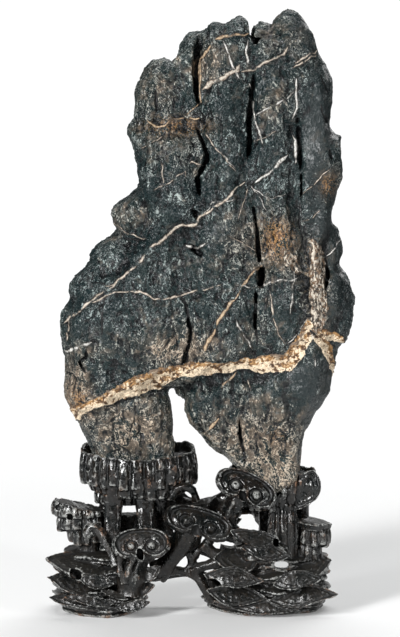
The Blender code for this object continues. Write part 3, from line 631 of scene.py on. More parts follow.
class Wire:
    """One output of a shader node. Sums, products and comparisons of wires become Math nodes."""

    def __init__(self, socket):
        self.socket = socket

    def add(self, kind, settings, inputs, output=0):
        """Adds a node of this type: its settings first, then a value or a wire for each socket."""
        tree = self.socket.id_data
        made = tree.nodes.new(kind)
        for name, value in settings.items():
            setattr(made, name, value)
        for name, value in inputs.items():
            if isinstance(value, Wire):
                tree.links.new(value.socket, made.inputs[name])
            else:
                made.inputs[name].default_value = value
        return Wire(made.outputs[output])

    def math(self, operation, *values):
        return self.add("ShaderNodeMath", {"operation": operation}, dict(enumerate(values)))

    def vector(self, operation, *values, output=0):
        """A Vector Math node on this wire and the values."""
        return self.add("ShaderNodeVectorMath", {"operation": operation}, dict(enumerate((self, *values))),
                        output)

    def __add__(self, other):
        return self.math("ADD", self, other)

    def __sub__(self, other):
        return self.math("SUBTRACT", self, other)

    def __rsub__(self, other):
        return self.math("SUBTRACT", other, self)

    def __mul__(self, other):
        return self.math("MULTIPLY", self, other)

    def __truediv__(self, other):
        return self.math("DIVIDE", self, other)

    def __abs__(self):
        return self.math("ABSOLUTE", self)

    __radd__ = __add__
    __rmul__ = __mul__

    def least(self, other):
        return self.math("MINIMUM", self, other)

    def most(self, other):
        return self.math("MAXIMUM", self, other)

    def step(self, low, high):
        """0 at low and 1 at high, eased between them."""
        return self.add("ShaderNodeMapRange", {"interpolation_type": "SMOOTHSTEP"},
                        {0: self, 1: low, 2: high})

    def mixed(self, one, other):
        """Colour one where this wire is 0 and the other where it is 1."""
        one, other = ((*c, 1) if isinstance(c, tuple) else c for c in (one, other))
        return self.add("ShaderNodeMix", {"data_type": "RGBA"}, {0: self, 6: one, 7: other}, 2)

    def part(self, which):
        """One of the three numbers of a vector."""
        return self.add("ShaderNodeSeparateXYZ", {}, {0: self}, which)

    def scaled(self, size, squash):
        """Coordinates that count in steps of this size in mm, squashed along the axes."""
        return self.vector("MULTIPLY", tuple(1000 / size * s for s in squash))

    def noise(self, size, detail=3, rough=0.5, warp=0.0, squash=(1, 1, 1)):
        """Noise from 0 to 1 with features of this size in mm, squashed along the axes."""
        return self.add("ShaderNodeTexNoise", {}, {"Vector": self.scaled(size, squash), "Scale": 1.0,
                                                   "Detail": detail, "Roughness": rough, "Distortion": warp})

    def stirred(self, start, scale, detail, reach):
        """start moved about by coloured noise of this scale on these coordinates, times reach in m."""
        stir = self.add("ShaderNodeTexNoise", {}, {"Vector": self, "Scale": scale, "Detail": detail}, 1)
        return stir.vector("MULTIPLY_ADD", (reach,) * 3, start)

    def facets(self, size, slope, squash=(1, 1, 1)):
        """Broken facets of this size in mm: each cell is a plane through its centre, tipped at
        random. The height is in mm."""
        spot = self.scaled(size, squash)
        cell = self.add("ShaderNodeTexVoronoi", {}, {"Vector": spot, "Scale": 1.0}, "Position")
        tip = Wire(cell.socket.node.outputs["Color"]).vector("SUBTRACT", (0.5, 0.5, 0.5))
        return spot.vector("SUBTRACT", cell).vector("DOT_PRODUCT", tip, output="Value") * (size * slope)


def finish_of(name, roughness, ior):
    """A new material: its shader node, its Object coordinates as a wire, and itself."""
    made = bpy.data.materials.new(name)
    made.use_nodes = True
    nodes = made.node_tree.nodes
    shader = nodes["Principled BSDF"]
    shader.inputs["Roughness"].default_value = roughness
    shader.inputs["IOR"].default_value = ior
    return shader, Wire(nodes.new("ShaderNodeTexCoord").outputs["Object"]), made


def joined(shader, name, wire):
    """Leads a wire to one of the shader's sockets."""
    wire.socket.id_data.links.new(wire.socket, shader.inputs[name])


def bumped(shader, height):
    """Bumps the finish by a height in mm."""
    joined(shader, "Normal", height.add("ShaderNodeBump", {}, {"Height": height, "Strength": 1.0,
                                                               "Distance": 0.001}))


def read(coords, name, part=None):
    """A wire of a mesh attribute, or of one part of it."""
    made = coords.add("ShaderNodeAttribute", {"attribute_name": name}, {}, "Fac")
    return made if part is None else Wire(made.socket.node.outputs["Vector"]).part(part)


def coated(piece, finish):
    """Gives the piece its only material and rounds its shading."""
    piece.data.materials.clear()
    piece.data.materials.append(finish)
    piece.data.polygons.foreach_set("use_smooth", np.ones(len(piece.data.polygons), bool))


shader, coords, dark_stone = finish_of("dark_stone", 0.34, 1.55)
brown, ground, rust = (read(coords, "skin", part) for part in (0, 1, 2))
out = read(coords, "standing_out")
across, past, half = (read(coords, "vein_place", part) for part in (0, 1, 2))
tone, along = (read(coords, "vein_kind", part) for part in (0, 1))

# Wrinkles a millimetre or two across, like a walnut's: pale crests, partly rubbed wear and partly painted
# highlight, beside dark furrows of painted shade, on a blue-black body. Brown dust is held in places,
# between cracked facets. The ground faces have few. The skin's hollows are painted near-black as shade.
bent = coords.stirred(coords.stirred(coords, 16.0, 1.0, 0.05), 160.0, 2.0, 0.006)
worm, worm_fine, worm_tall = (
    abs(bent.noise(size, 1, 0.5, warp, (1, 1, tall)) - 0.5)
    for size, warp, tall in ((4.2, 0.5, 0.42), (2.4, 0.5, 0.42), (3.2, 0, 0.2)))
crest = 1 - worm.step(0.010, 0.034)
crest_fine = 1 - worm_fine.step(0.012, 0.045)
crest_tall = 1 - worm_tall.step(0.010, 0.042)
patches = coords.noise(30, 4, 0.6, 0.6)
cloudy = coords.noise(9, 3, 0.6, 0.4)
calm = coords.noise(16, 2, 0.5, 0.8, (1, 1, 0.7))
speck = coords.noise(1.5, 1, 0.6)
rubbed = 1 - ground * 0.72
grey = patches.step(0.36, 0.66).mixed((0.006, 0.018, 0.020), (0.014, 0.029, 0.029))
grey = (cloudy.step(0.54, 0.74) * 0.6).mixed(grey, (0.034, 0.048, 0.046))
grey = (ground * 0.8).mixed(grey, (0.017, 0.024, 0.025))
facet = bent.noise(7, 1, 0.5, 0.5, (1, 1, 0.6))
dusty = (brown * 0.9 + (patches - 0.5) * 1.3 + (cloudy - 0.5) * 2.2).step(0.20, 0.95) * (
    1 - facet.step(0.52, 0.55) * brown)
body = (dusty * (1 - ground * 0.6)).mixed(grey, (0.150, 0.118, 0.088))
busy = calm.step(0.44, 0.62)
# Pale crests: partly rubbed wear, partly a painted highlight on the wrinkles; raised ridges are painted paler
# too.
lines = crest * (busy * 0.75 + 0.25) + crest_fine * (busy * 0.55 + brown * 0.3) + crest_tall * (
    patches.step(0.5, 0.62) * 0.35 + brown * 0.45)
lines = lines + (1 - abs(facet - 0.53).step(0.008, 0.028)) * brown * 0.75
lines = lines * (speck.step(0.36, 0.56) * 0.9 + 0.24) + out.step(0.25, 1.1) * 0.3
# Painted shade: the furrows beside the crests are darkened towards black.
furrows = (worm.step(0.105, 0.040) + worm_fine.step(0.13, 0.05) * 0.5 + worm_tall.step(0.12, 0.05)
           * brown * 0.6) * busy * rubbed
body = (furrows * 0.6).least(0.75).mixed(body, (0.003, 0.007, 0.009))
body = (lines * rubbed).step(0.30, 0.80).mixed(body, dusty.most(brown * 0.8).mixed(
    (0.350, 0.415, 0.405), (0.720, 0.580, 0.440)))
body = (rust * (cloudy * 0.5 + speck * 0.5).step(0.44, 0.50)).mixed(body, speck.step(0.46, 0.60).mixed(
    (0.100, 0.042, 0.016), (0.50, 0.27, 0.10)))
# Painted shade: the skin's hollows are darkened to near-black.
body = out.step(0.0, -0.7).mixed(body, (0.004, 0.005, 0.006))

# Veins: each thin one is cream at its heart and stained by iron towards its edges, and fades where the
# stone covers it; just outside it the stone is darkened as a painted shadow. The broad one is a crust of
# cream blocks in a golden, pitted ground speckled with brown, cleaner at its lower edge; one arm of it has
# crumbled to upright grains.
thin = 1 - tone.step(2.5, 2.9)
crumbled = tone.step(3.5, 3.9)
crack = tone.step(1.6, 1.9) * thin
squared = across * across + past * past
reached = squared.math("SQRT", squared)
width = coords.noise(8, 2, 0.5)
ragged = coords.noise(2.8, 2, 0.6) - 0.5
vein_edge = half * (thin * (width * 2.1 - 0.25) + (1 - thin) * (width * 0.9 + 0.55)) + ragged * (
    half * 0.25 + 0.9) - reached
vein = vein_edge.step(-0.14, 0.18)
heart = (vein_edge / (half + 0.2)).step(0.05, 0.60)
flow = coords.add("ShaderNodeCombineXYZ", {}, {0: along * 0.001, 1: across * 0.001, 2: tone * 0.05})
upward = across / (half + 0.4)
blocks = flow.noise(8, 3, 0.6, 0.8, (1, 1.4, 1))
pits = flow.noise(3.6, 2, 0.6, 0.5, (1, 1.2, 1))
grains = bent.noise(2.6, 1, 0.6, 0.4, (1, 1, 0.42))
grains_wide = coords.noise(5, 2, 0.6)
stain = coords.noise(8, 3, 0.6, 0.8)
crystal = pits.step(0.40, 0.54).mixed((0.075, 0.034, 0.014), (0.500, 0.275, 0.105))
crystal = (blocks - upward * 0.10 + (pits - 0.5) * 0.9).step(0.455, 0.535).mixed(
    crystal, (0.94, 0.77, 0.56))
chalk = coords.noise(1.4, 2, 0.7)
crystal = (chalk.step(0.46, 0.40) * 0.6).mixed(crystal, (0.230, 0.125, 0.055))
crystal = (upward + (blocks - 0.5) * 3.0).step(0.55, 1.05).mixed(crystal, (0.200, 0.140, 0.095))
crystal = crumbled.mixed(crystal, grains.step(0.50, 0.60).mixed(
    grains_wide.step(0.42, 0.58).mixed((0.045, 0.032, 0.024), (0.200, 0.120, 0.068)), (0.72, 0.64, 0.53)))
edge_tone = tone.least(1.0).mixed((0.220, 0.115, 0.050), (0.200, 0.190, 0.170))
heart_tone = tone.least(1.0).mixed((0.58, 0.44, 0.29), (0.80, 0.78, 0.74))
thread = heart.mixed(edge_tone, heart_tone)
thread = (speck.step(0.50, 0.36) * 0.7).mixed(thread, (0.120, 0.090, 0.065))
thread = thin.mixed(crystal, thread)
thread = crack.mixed(thread, (0.003, 0.003, 0.004))
# Painted shadow: the stone just outside a thin vein is darkened, as if the vein stood proud.
painted_vein_shadow = vein_edge.step(-1.5, -0.2) * thin * (1 - crack)
shown = (stain * 0.6 + width * 0.4).step(0.38, 0.48).most(1 - thin).most(crack) * (
    1 - crumbled * grains.step(0.46, 0.38))
body = (painted_vein_shadow * shown * 0.75).mixed(body, (0.012, 0.011, 0.010))
colour = (vein * shown).mixed(body, thread)
joined(shader, "Base Color", colour)
joined(shader, "Roughness", 0.19 + dusty * 0.18 + speck * 0.14 + vein * 0.20 + ground * 0.06
       - lines * 0.06)
height = (crest * 0.55 + crest_fine * 0.30 + crest_tall * (0.15 + brown * 0.35)) * rubbed
height = height + (coords.noise(6, 4, 0.65, 0.4) * 1.8 + bent.facets(11, 0.40, (1, 1, 0.7))
                   + bent.facets(4, 0.55, (1, 1, 0.7)) + bent.facets(2.2, 0.55, (1, 1, 0.7))) * (
                       rubbed * 0.85 + 0.08)
height = height + coords.noise(2.4, 3, 0.65) * 0.30
height = height * (1 - vein * 0.6) + vein * (1 - thin) * (pits * 2.6 + blocks * 2.0)
height = height - vein * crack * 1.2 + vein * thin * 0.35
bumped(shader, height)

coated(stone, dark_stone)
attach(stone, "root")
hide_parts("rock")

# The stand, carved from one block of dark hardwood. Its left pedestal: a collar of upright reeds in two
# tiers holds the stone's left foot, on pillars that rise from a pile of carved rock ledges. A reeded
# bracket steps out at its left, and a lingzhi head stands before it.

WOOD_GRAIN = 0.75  # mm, the size of the fused mesh's cells
FOOT_ROOM = 0.7  # mm between the stone's feet and the wood


def rounded_square(turn, power):
    """x and y round |cos|^power by |sin|^power."""
    return [np.sign(f(turn)) * np.abs(f(turn)) ** power for f in (np.cos, np.sin)]


def chances(count, seed):
    """Three numbers from -1 to 1 for each, the same on every run."""
    return three_of(scrambled(np.stack([np.arange(count)] * 3, axis=-1), seed))


def reeded(centre, radii, low, high, reeds, depth, seed, foot=1.0, uneven=0.0, rim=0.0, flange=None,
           hem=None, shift=0):
    """A drum of upright reeds. Round the drum each reed's wall is an arch, R - 1.2 depth |2t - 1|^4, of its
    own breadth, reach and slant; its foot is cut at its own height and its shoulder is rounded. With a rim,
    the top is hollowed inside a wall of that width. flange gives how far the rim rises at each angle, and
    hem how far the feet do. The top is moved sideways by shift."""
    turn = circle(reeds * 20)
    spread = turn + 0.8 / reeds * (np.sin(3 * turn + seed) + 0.6 * np.sin(7 * turn + 2 * seed))
    phase = spread * reeds / (2 * math.pi)
    reed = np.floor(phase).astype(int) % reeds
    across = 2 * (phase - np.floor(phase)) - 1
    reach, foot_cut, top_cut, slant = (chances(reeds, seed + step)[reed, 0] for step in range(4))
    groove = depth * (1.2 * across**4 + 0.25 * across * slant + 0.35 * (1 + reach))
    under = low + uneven * (0.5 + 0.5 * foot_cut) + (hem(turn) if hem else 0)
    crest = high + (flange(turn) if flange else 0) + 0.7 * top_cut
    inner = max(rim, 5.0)
    rows = []
    for share, inset, drop in ((0, 9, 0), (0, 1.6, 0), (0.04, 0.4, 0), (0.12, 0, 0), (0.3, 0, 0),
                               (0.5, 0.1, 0), (0.66, 0.5, 0), (0.8, 1.2, 0), (0.9, 2.1, 0),
                               (1, 3.6, 0), (1, inner - 1.0, 0), (1, inner, 1.4),
                               (1, inner + 0.6, 9 if rim else 1.6),
                               (1, inner + 9, 10 if rim else 1.6)):
        scale = foot + (1 - foot) * share
        wide, deep = (radius * scale - inset - groove * (share < 1) for radius in radii)
        rows.append(ring(centre[0] + shift * share + wide * np.cos(turn), centre[1] + deep * np.sin(turn),
                         under + (crest - under) * share - drop))
    return solid_of(rows)


def warped(solid):
    """The same solid with the unevenness of hand carving: smooth drifts of 1.7 mm along the level axes
    and 3.2 mm upright, none at the floor."""
    spots, faces = solid
    free = soft_step(spots[:, 2], 3, 14)[:, None]
    return spots + drifts(spots, (26, 26, 20), 61, 62, 63) * (1.7, 1.7, 3.2) * free, faces


# A ledge's profile, from its foot to its top: (share of its height, share of its half size).
LEDGE_PROFILE = ((0, 0.5), (0, 0.87), (0.12, 0.91), (0.20, 0.91), (0.24, 0.87), (0.31, 0.87), (0.36, 0.935),
                 (0.46, 0.95), (0.51, 0.945), (0.55, 0.90), (0.61, 0.91), (0.66, 0.985), (0.74, 1.0),
                 (0.80, 0.99), (0.86, 0.94), (0.95, 0.82), (1.0, 0.5))


def ledge(centre, radii, low, high, shares, turned):
    """A carved rock ledge. In plan it runs from tip to tip by (1 - cos)/2, hollowed by 0.05 sin^2
    between them; in profile it is undercut below, thin at the rim, and cut by contour lines."""
    turn = circle(300)
    place = (np.degrees(turn) - turned) % 360 / (360 / len(shares))
    tip = place.astype(int) % len(shares)
    t = place - tip
    eased = (1 - np.cos(math.pi * t)) / 2
    shares = np.array(shares)
    plan = (shares[tip] * (1 - eased) + shares[(tip + 1) % len(shares)] * eased
            - 0.05 * np.sin(math.pi * t) ** 2)
    return warped(solid_of([
        ring(centre[0] + radii[0] * (plan * scale) * np.cos(turn),
             centre[1] + radii[1] * (plan * scale) * np.sin(turn), low + (high - low) * share)
        for share, scale in LEDGE_PROFILE]))


PILLAR_TURN = 0.3  # radians, how far a pillar's section is turned
PILLAR_WAIST = 0.86  # its breadth there, as a share of its half sizes


def pillar(foot, head, radii, low, high):
    """A squared pillar: |cos|^0.55 and |sin|^0.55 round it, narrowest at its waist."""
    square = rounded_square(circle(48) + PILLAR_TURN, 0.55)
    rows = []
    for share in np.linspace(0, 1, 15):
        scale = PILLAR_WAIST + (1.12 - PILLAR_WAIST) * abs(2 * share - 1) ** 2.2
        rows.append(ring(*(foot[axis] + (head[axis] - foot[axis]) * share + radii[axis] * scale * square[axis]
                           for axis in (0, 1)), low + (high - low) * share))
    return solid_of(rows)


def tipped(spots, centre, tilt, lean, facing=0.0):
    """Points on a flat face, tipped to the front by tilt, turned clockwise by lean, swung round the
    upright axis by facing and put at centre."""
    tilt, lean, facing = math.radians(tilt), math.radians(lean), math.radians(facing)
    x, y, z = spots[..., 0], spots[..., 1], spots[..., 2]
    y, z = y * math.cos(tilt) - z * math.sin(tilt), y * math.sin(tilt) + z * math.cos(tilt)
    x, z = x * math.cos(lean) + z * math.sin(lean), z * math.cos(lean) - x * math.sin(lean)
    x, y = x * math.cos(facing) - y * math.sin(facing), x * math.sin(facing) + y * math.cos(facing)
    return np.stack((x, y, z), axis=-1) + centre


BEADS = ((-0.36, -0.14), (0.35, -0.17))  # where a head's two beads are, as shares of its half sizes
BEAD = 0.145  # their radius, as a share of its half width


def lingzhi(centre, size, tilt, lean):
    """A lingzhi head, as a face over a kidney outline, |cos|^0.86 by |sin|^0.86 less a notch of
    0.6 e^-(angle / 0.3)^2 at its lower side: a raised lip along the edge, a dished middle, and two
    domed beads, each in a hollow."""
    wide, deep, thick = size
    turn = circle(200)
    outline = 1 - 0.60 * np.exp(-((turn - 1.5 * math.pi) / 0.30) ** 2)
    aside, up_down = (side * outline for side in rounded_square(turn, 0.86))
    rows = []
    for share, back in ((0.45, -1.0), (0.8, -0.75), (0.97, -0.35), (1.03, 0.0)):
        rows.append(ring(wide * share * aside, deep * share * up_down, back * thick))
    for share in np.concatenate((np.linspace(1.02, 0.6, 20), np.linspace(0.57, 0.04, 20))):
        x, y = wide * share * aside, deep * share * up_down
        inward = (1 - share) * deep
        lip = 2.4 * np.exp(-((inward - 1.0) / 0.75) ** 2)
        face = 1.1 * (1 - share**2) - 1.5 * np.exp(-((inward - 2.9) / 1.0) ** 2)
        for across, up in BEADS:
            gap = np.hypot(x - across * wide, y - up * deep) / (BEAD * wide)
            face = face * soft_step(gap, 0.8, 1.5)
            face += 1.25 * BEAD * wide * np.sqrt(np.clip(1 - gap**2, 0, 1))
            face -= 2.6 * np.exp(-((gap - 1.32) / 0.26) ** 2)
            lip = lip * soft_step(gap, 0.9, 1.5)
        rows.append(ring(x, y, 0.35 * thick + lip + face))
    spots, faces = solid_of(rows)
    return tipped(spots, centre, tilt, lean), faces


def leaf(centre, size, tilt, lean, facing=0.0):
    """A rock facet like a leaf: two arcs, 1 - |x|^2.1, that meet in a point at each end, a thin raised
    lip along them, a dished face with two contour lines, and a keel below."""
    wide, deep, thick = size
    turn = circle(140)
    x = np.cos(turn)
    y = np.sign(np.sin(turn)) * (1 - np.abs(x) ** 2.1) * np.where(np.sin(turn) > 0, 0.85, 1.0)
    spots, faces = solid_of([ring(wide * share * x, deep * share * y, high) for share, high in (
        (0.35, -thick), (0.75, -0.62 * thick), (0.93, -0.25 * thick), (1.0, 0), (1.0, 1.0), (0.965, 1.3),
        (0.92, 0.1), (0.88, -0.9), (0.80, -0.8), (0.74, -0.4), (0.71, 0.3), (0.67, 0.2), (0.63, -0.5),
        (0.45, -0.2), (0.42, 0.6), (0.38, -0.2), (0.2, 0.3), (0.05, 0.4))])
    return warped((tipped(spots, centre, tilt, lean, facing), faces))


def rockery(centre, radii, levels, angles, size, seed):
    """Leaf-shaped ledges round a pile of rock, facing outwards: one at each angle and level, each of
    its own length and slope, every other level 18 degrees round."""
    made = []
    for row, level in enumerate(levels):
        for angle, (longer, steeper, higher) in zip(angles, chances(len(angles), seed + row)):
            angle += 18 * (row % 2)
            turn = math.radians(angle)
            spot = (centre[0] + radii[0] * math.cos(turn), centre[1] + radii[1] * math.sin(turn),
                    level + 3 * higher)
            made.append(leaf(spot, (size[0] * (1 + 0.2 * longer), size[1], size[2]), 34 + 12 * steeper,
                             14 * longer, angle + 90))
    return made


def root(path, thickness):
    """A branching root: a smooth curve through the points (Catmull-Rom), with an egg-shaped section
    that swells and shrinks along it by a slow wave."""
    path = np.asarray(path, float)
    ends = np.concatenate((2 * path[:1] - path[1:2], path, 2 * path[-1:] - path[-2:-1]))
    t = np.linspace(0, 1, 14, endpoint=False)[:, None]
    line = np.concatenate([0.5 * (2 * b + (c - a) * t + (2 * a - 5 * b + 4 * c - d) * t**2
                                  + (3 * b - a - 3 * c + d) * t**3)
                           for a, b, c, d in zip(ends, ends[1:], ends[2:], ends[3:])] + [path[-1:]])
    along = np.gradient(line, axis=0)
    along /= np.linalg.norm(along, axis=1)[:, None]
    side = np.cross(along, (0.0, 1.0, 0.0))
    side /= np.maximum(np.linalg.norm(side, axis=1), 0.05)[:, None]
    up = np.cross(side, along)
    turn = circle(28)
    share = np.linspace(0, 1, len(line))
    swell = 1 + 0.13 * np.sin(share * 11 + 1) + 0.18 * (2 * share - 1) ** 4
    section = thickness * swell[:, None] * (1 + 0.12 * np.cos(2 * turn) + 0.06 * np.cos(5 * turn))
    rings = (line[:, None] + side[:, None] * (section * np.cos(turn))[..., None]
             + up[:, None] * (1.2 * section * np.sin(turn))[..., None])
    return solid_of(rings)


def window(x, high, half_wide, half_tall, lean=0.0, start=-80.0, end=80.0):
    """A cutter for a hole: a rounded bar, |cos|^0.7 by |sin|^0.7, along the layers from start to end."""
    square = rounded_square(circle(24), 0.7)
    wide, tall = half_wide * square[0], half_tall * square[1]
    slope = math.tan(math.radians(lean))
    return solid_of([ring(x + wide, depth, upright(high + tall - slope * wide, depth))
                     for depth in (start, end)])


def feet():
    """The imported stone, grown by the room that its feet have in the wood."""
    made = welded(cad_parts["rock"], "feet")
    places, normals = points_of(made)
    put_points(made, places + FOOT_ROOM * normals)
    return made


def fused(name, solids, cuts):
    """One piece from overlapping closed solids, fused on a fine grid and eased, then cut through by
    its windows and hollowed where the stone's feet stand in it."""
    spots, faces, count = [], [], 0
    for some, joins in solids:
        spots.append(some)
        faces += [[corner + count for corner in join] for join in joins]
        count += len(some)
    piece = worked(object_of(name, (np.concatenate(spots), faces)),
                   ("REMESH", {"mode": "VOXEL", "voxel_size": WOOD_GRAIN / 1000}),
                   ("SMOOTH", {"factor": 0.5, "iterations": 2}))
    return combined(piece, "DIFFERENCE", [*(object_of("cutter", cut) for cut in cuts), feet()])


def front_left(turn):
    """The collar's feet hang lowest at the front right and rise by 1 mm towards the left."""
    return 0.6 - 0.6 * np.cos(turn + 1.1)


collar = reeded((-54.4, 1.1), (53.2, 42.4), 108.5, 138.5, 30, 4.0, 1, 0.98, 4.5, 7.0,
                lambda turn: 5 * np.exp(-((turn - 0.5) / 0.5) ** 2)
                + 4 * np.exp(-((turn - 2.7) / 0.35) ** 2)
                - 3.5 * np.exp(-((turn - 4.75) / 0.6) ** 2), front_left)
lower_tier = reeded((-54.6, 1.1), (48.5, 43), 97.5, 120, 22, 3.2, 2, 0.87, 3.0,
                    hem=lambda turn: 6 * np.abs(np.sin((turn + 1.1) / 2)))
neck = reeded((-62, 5), (32, 22), 92, 106, 14, 2.4, 12, 0.95)
pillars = [pillar(*facts) for facts in (
    ((-77.6, -25), (-74.6, -21), (8.5, 7.5), 56, 104), ((-46.6, -27), (-48.6, -21), (8.5, 7.5), 50, 104),
    ((-27.6, -3), (-35.6, -1), (7.5, 8.5), 50, 104), ((-85.6, 5), (-77.6, 5), (8.5, 8.5), 50, 104),
    ((-43.6, 25), (-43.6, 19), (9.5, 7.5), 48, 104), ((-83.6, 27), (-78.6, 19), (8.5, 7.5), 48, 104),
    ((-61.6, 27), (-63.6, 27), (11.5, 7.5), 48, 79))]
bracket = [reeded((-104.6, -6.9), (26, 21), 81, 92, 13, 2.8, 3, 0.96, 4.0,
                  flange=lambda turn: -5 * np.cos(turn)),
           reeded((-102.6, -6.9), (24.5, 20), 68, 84, 12, 2.8, 4, 0.93, 5.0),
           reeded((-98.2, -6.9), (19, 17), 57, 74, 10, 2.6, 11, 0.88, 5.0),
           reeded((-95.6, -6.9), (14, 13), 46, 68, 8, 2.2, 5, 0.9, 1.0)]
TIPS = (1.0, 0.90, 0.98, 0.88, 1.0, 0.91, 0.97, 0.87)  # how far a ledge reaches at each of its tips
ledges = [ledge(*facts) for facts in (
    ((-84.6, -3.9), (39, 54), 0, 14, TIPS, 8), ((-83.6, -2.9), (40, 51), 12, 28, TIPS[::-1], 30),
    ((-82.6, -0.9), (41, 48), 25, 42, TIPS, 55), ((-83.6, 3.1), (40, 44), 39, 53, TIPS[::-1], 5),
    ((-63.6, -38), (24, 17), 30, 42, TIPS, 20))]
leaves = [leaf(*facts) for facts in (
    ((-99.5, -32, 45), (34, 25, 12), 20, 8), ((-99.5, -41, 29), (33, 14, 10), 42, 8),
    ((-92.5, -44, 14.5), (38, 10, 8), 52, 4), ((-62.5, -44, 22), (25, 12, 9), 50, -14),
    ((-43.7, -45, 38), (12, 6.5, 5), 60, -35), ((-89.3, -57, 34), (16, 7, 5), 62, 10),
    ((-95.3, -56.5, 16), (22, 5.5, 5), 64, 8), ((-59, -53, 12), (16, 5.5, 5), 64, -8),
    ((-74, -57, 22), (13, 4.5, 4), 62, 18))]
leaves += rockery((-87.6, -1), (31, 41), (17, 33), (-30, 20, 70, 120, 170), (30, 11, 9), 71)
heads = [lingzhi((-51.1, -50.4, 64), (24.5, 14.5, 7), 58, -3),
         lingzhi((-93.6, 41.1, 68), (22, 14, 7), -56, 8)]
stems = [root([(-50, -36, 62), (-57, -41, 48), (-61, -43, 34), (-62, -42, 20)], 11),
         root([(-89.6, 31, 44), (-91.6, 35, 58), (-93.6, 39, 66)], 7),
         root([(-69, -54.5, 57), (-69.5, -54.5, 44), (-66, -54.5, 31)], 2.3),
         root([(-56.5, -57, 57), (-61.5, -56.5, 44), (-65, -55, 32)], 2.3),
         root([(-93.5, -34, 73), (-97, -34, 71), (-97, -34, 75.5), (-93, -34, 77), (-88, -34, 74),
               (-83, -36, 66), (-77, -39, 55), (-73, -42, 44)], 3.4)]
left_pedestal = fused(
    "left_pedestal", [collar, lower_tier, neck, *pillars, *bracket, *ledges, *leaves, *heads, *stems],
    [window(-107.5, 31, 5.2, 4.6, 12, -80, -28), window(-123, 88, 2.4, 2.4, 0, -60, -14),
     window(-112.5, 80, 2.8, 2.8, 0, -60, -14), window(-52, 48.5, 3.0, 5.0, 18, -80, -42)])

# The right pedestal: a bowl of reeds whose front dips in a V, so that the stone's right foot shows
# down to its tip, a reeded column and bracket at its right, and a lingzhi head before it.


def dip(turn):
    """The bowl's rim falls to a V in front of the stone's tip, 1.15 mm down for each mm towards it, and
    stands up in a flange at the back left."""
    x = 41 * np.cos(turn)
    front = soft_step(-np.sin(turn), 0.05, 0.35)
    return (-front * np.clip(21 - 1.15 * np.abs(x - 3), 0, 21)
            + 4 * np.exp(-((turn - 2.5) / 0.5) ** 2))


bowl = [reeded((61.4, 3.1), (41.5, 36.5), 88, 121, 27, 3.8, 6, 0.82, 5.0, 6.0, dip),
        reeded((80.8, -2.9), (10.8, 16.4), 93, 120, 10, 2.6, 7, 0.62, 3.0, shift=8.5),
        leaf((90.5, -20, 107.5), (18.5, 12, 12), 78, -64)]
column = [reeded((71.4, -14.9), (14.4, 15.4), 44, 95, 10, 3.0, 8, 0.95)]
side_bracket = [reeded((98.4, -12.9), (15.4, 16.4), 56, 74.5, 9, 3.6, 9, 0.95, 4.0),
                reeded((94.4, -12.9), (12.4, 14.4), 44, 60, 8, 2.8, 10, 0.9, 2.0)]
pillars = [pillar(*facts) for facts in (
    ((24.4, -13), (28.4, -11), (7.5, 7.5), 44, 94), ((22.4, 15), (28.4, 13), (7.5, 7.5), 40, 94),
    ((58.4, 25), (58.4, 21), (9.5, 7.5), 44, 94), ((88.4, 15), (84.4, 13), (8.5, 8.5), 44, 94))]
TIPS = (1.0, 0.91, 0.97, 0.88, 1.0, 0.89, 0.98, 0.87, 0.99)  # as on the left, for these ledges
ledges = [ledge(*facts) for facts in (
    ((55.4, 3.1), (56, 49), 0, 13, TIPS, 10), ((61.9, 4.1), (51.5, 47), 11, 25, TIPS[::-1], 35),
    ((62.9, 5.1), (50.5, 45), 23, 37, TIPS, 26), ((63.4, 5.1), (47, 42), 35, 50, TIPS[::-1], 12),
    ((52.4, -18.9), (26, 22), 48, 62, TIPS, 4), ((64.4, 27.1), (30, 18), 48, 60, TIPS, 14),
    ((98.0, -13), (16, 17.5), 72, 79, TIPS, 30))]
leaves = [leaf(*facts) for facts in (
    ((46.8, -44, 70.5), (23, 10, 6), 58, 14), ((55.3, -47, 58), (22, 8.5, 5), 60, 9),
    ((28.5, -47, 35), (26, 10, 6), 60, 6), ((83.3, -46, 33), (22, 9, 5), 60, -9),
    ((32, -29, 49), (21, 18, 9), 40, -4), ((88, -41, 18), (30, 11, 8), 50, -6),
    ((30, -41, 19), (27, 10, 8), 52, 6), ((91, -24, 43), (22.5, 19, 10), 34, -7),
    ((60, -44, 10), (34, 8, 7), 56, -3))]
leaves += rockery((58.4, 3), (40, 34), (17, 33), (-24, 26, 76, 126, 176), (30, 11, 8), 81)
heads = [lingzhi((38.9, -41.9, 111), (27.5, 14.6, 7), 58, 25),
         lingzhi((42.4, 43.1, 84), (25, 14, 7), -56, -10)]
stems = [root([(28.4, -21, 62), (24.4, -27, 82), (31.4, -33, 101), (38.4, -38, 108)], 7),
         root([(58.4, 31, 54), (56.4, 35, 72), (50.4, 41, 82)], 7)]
right_pedestal = fused(
    "right_pedestal", [*bowl, *column, *side_bracket, *pillars, *ledges, *leaves, *heads, *stems],
    [window(69.5, 38.3, 6.2, 3.6, 4), window(12, 23.7, 6.9, 3.6, 8), window(22.3, 58.5, 6.9, 4.0, 12),
     window(38.5, 76, 7.6, 5.2, -4), window(64.5, 58, 2.6, 3.6, 20, -80, -8),
     window(36, 98.5, 3.4, 4.6, 20, -80, -37)])

# The openwork between the pedestals: a tilted lingzhi head on branching roots, over a low arch. It is
# carved from the same block, so its roots run on into both pedestals.

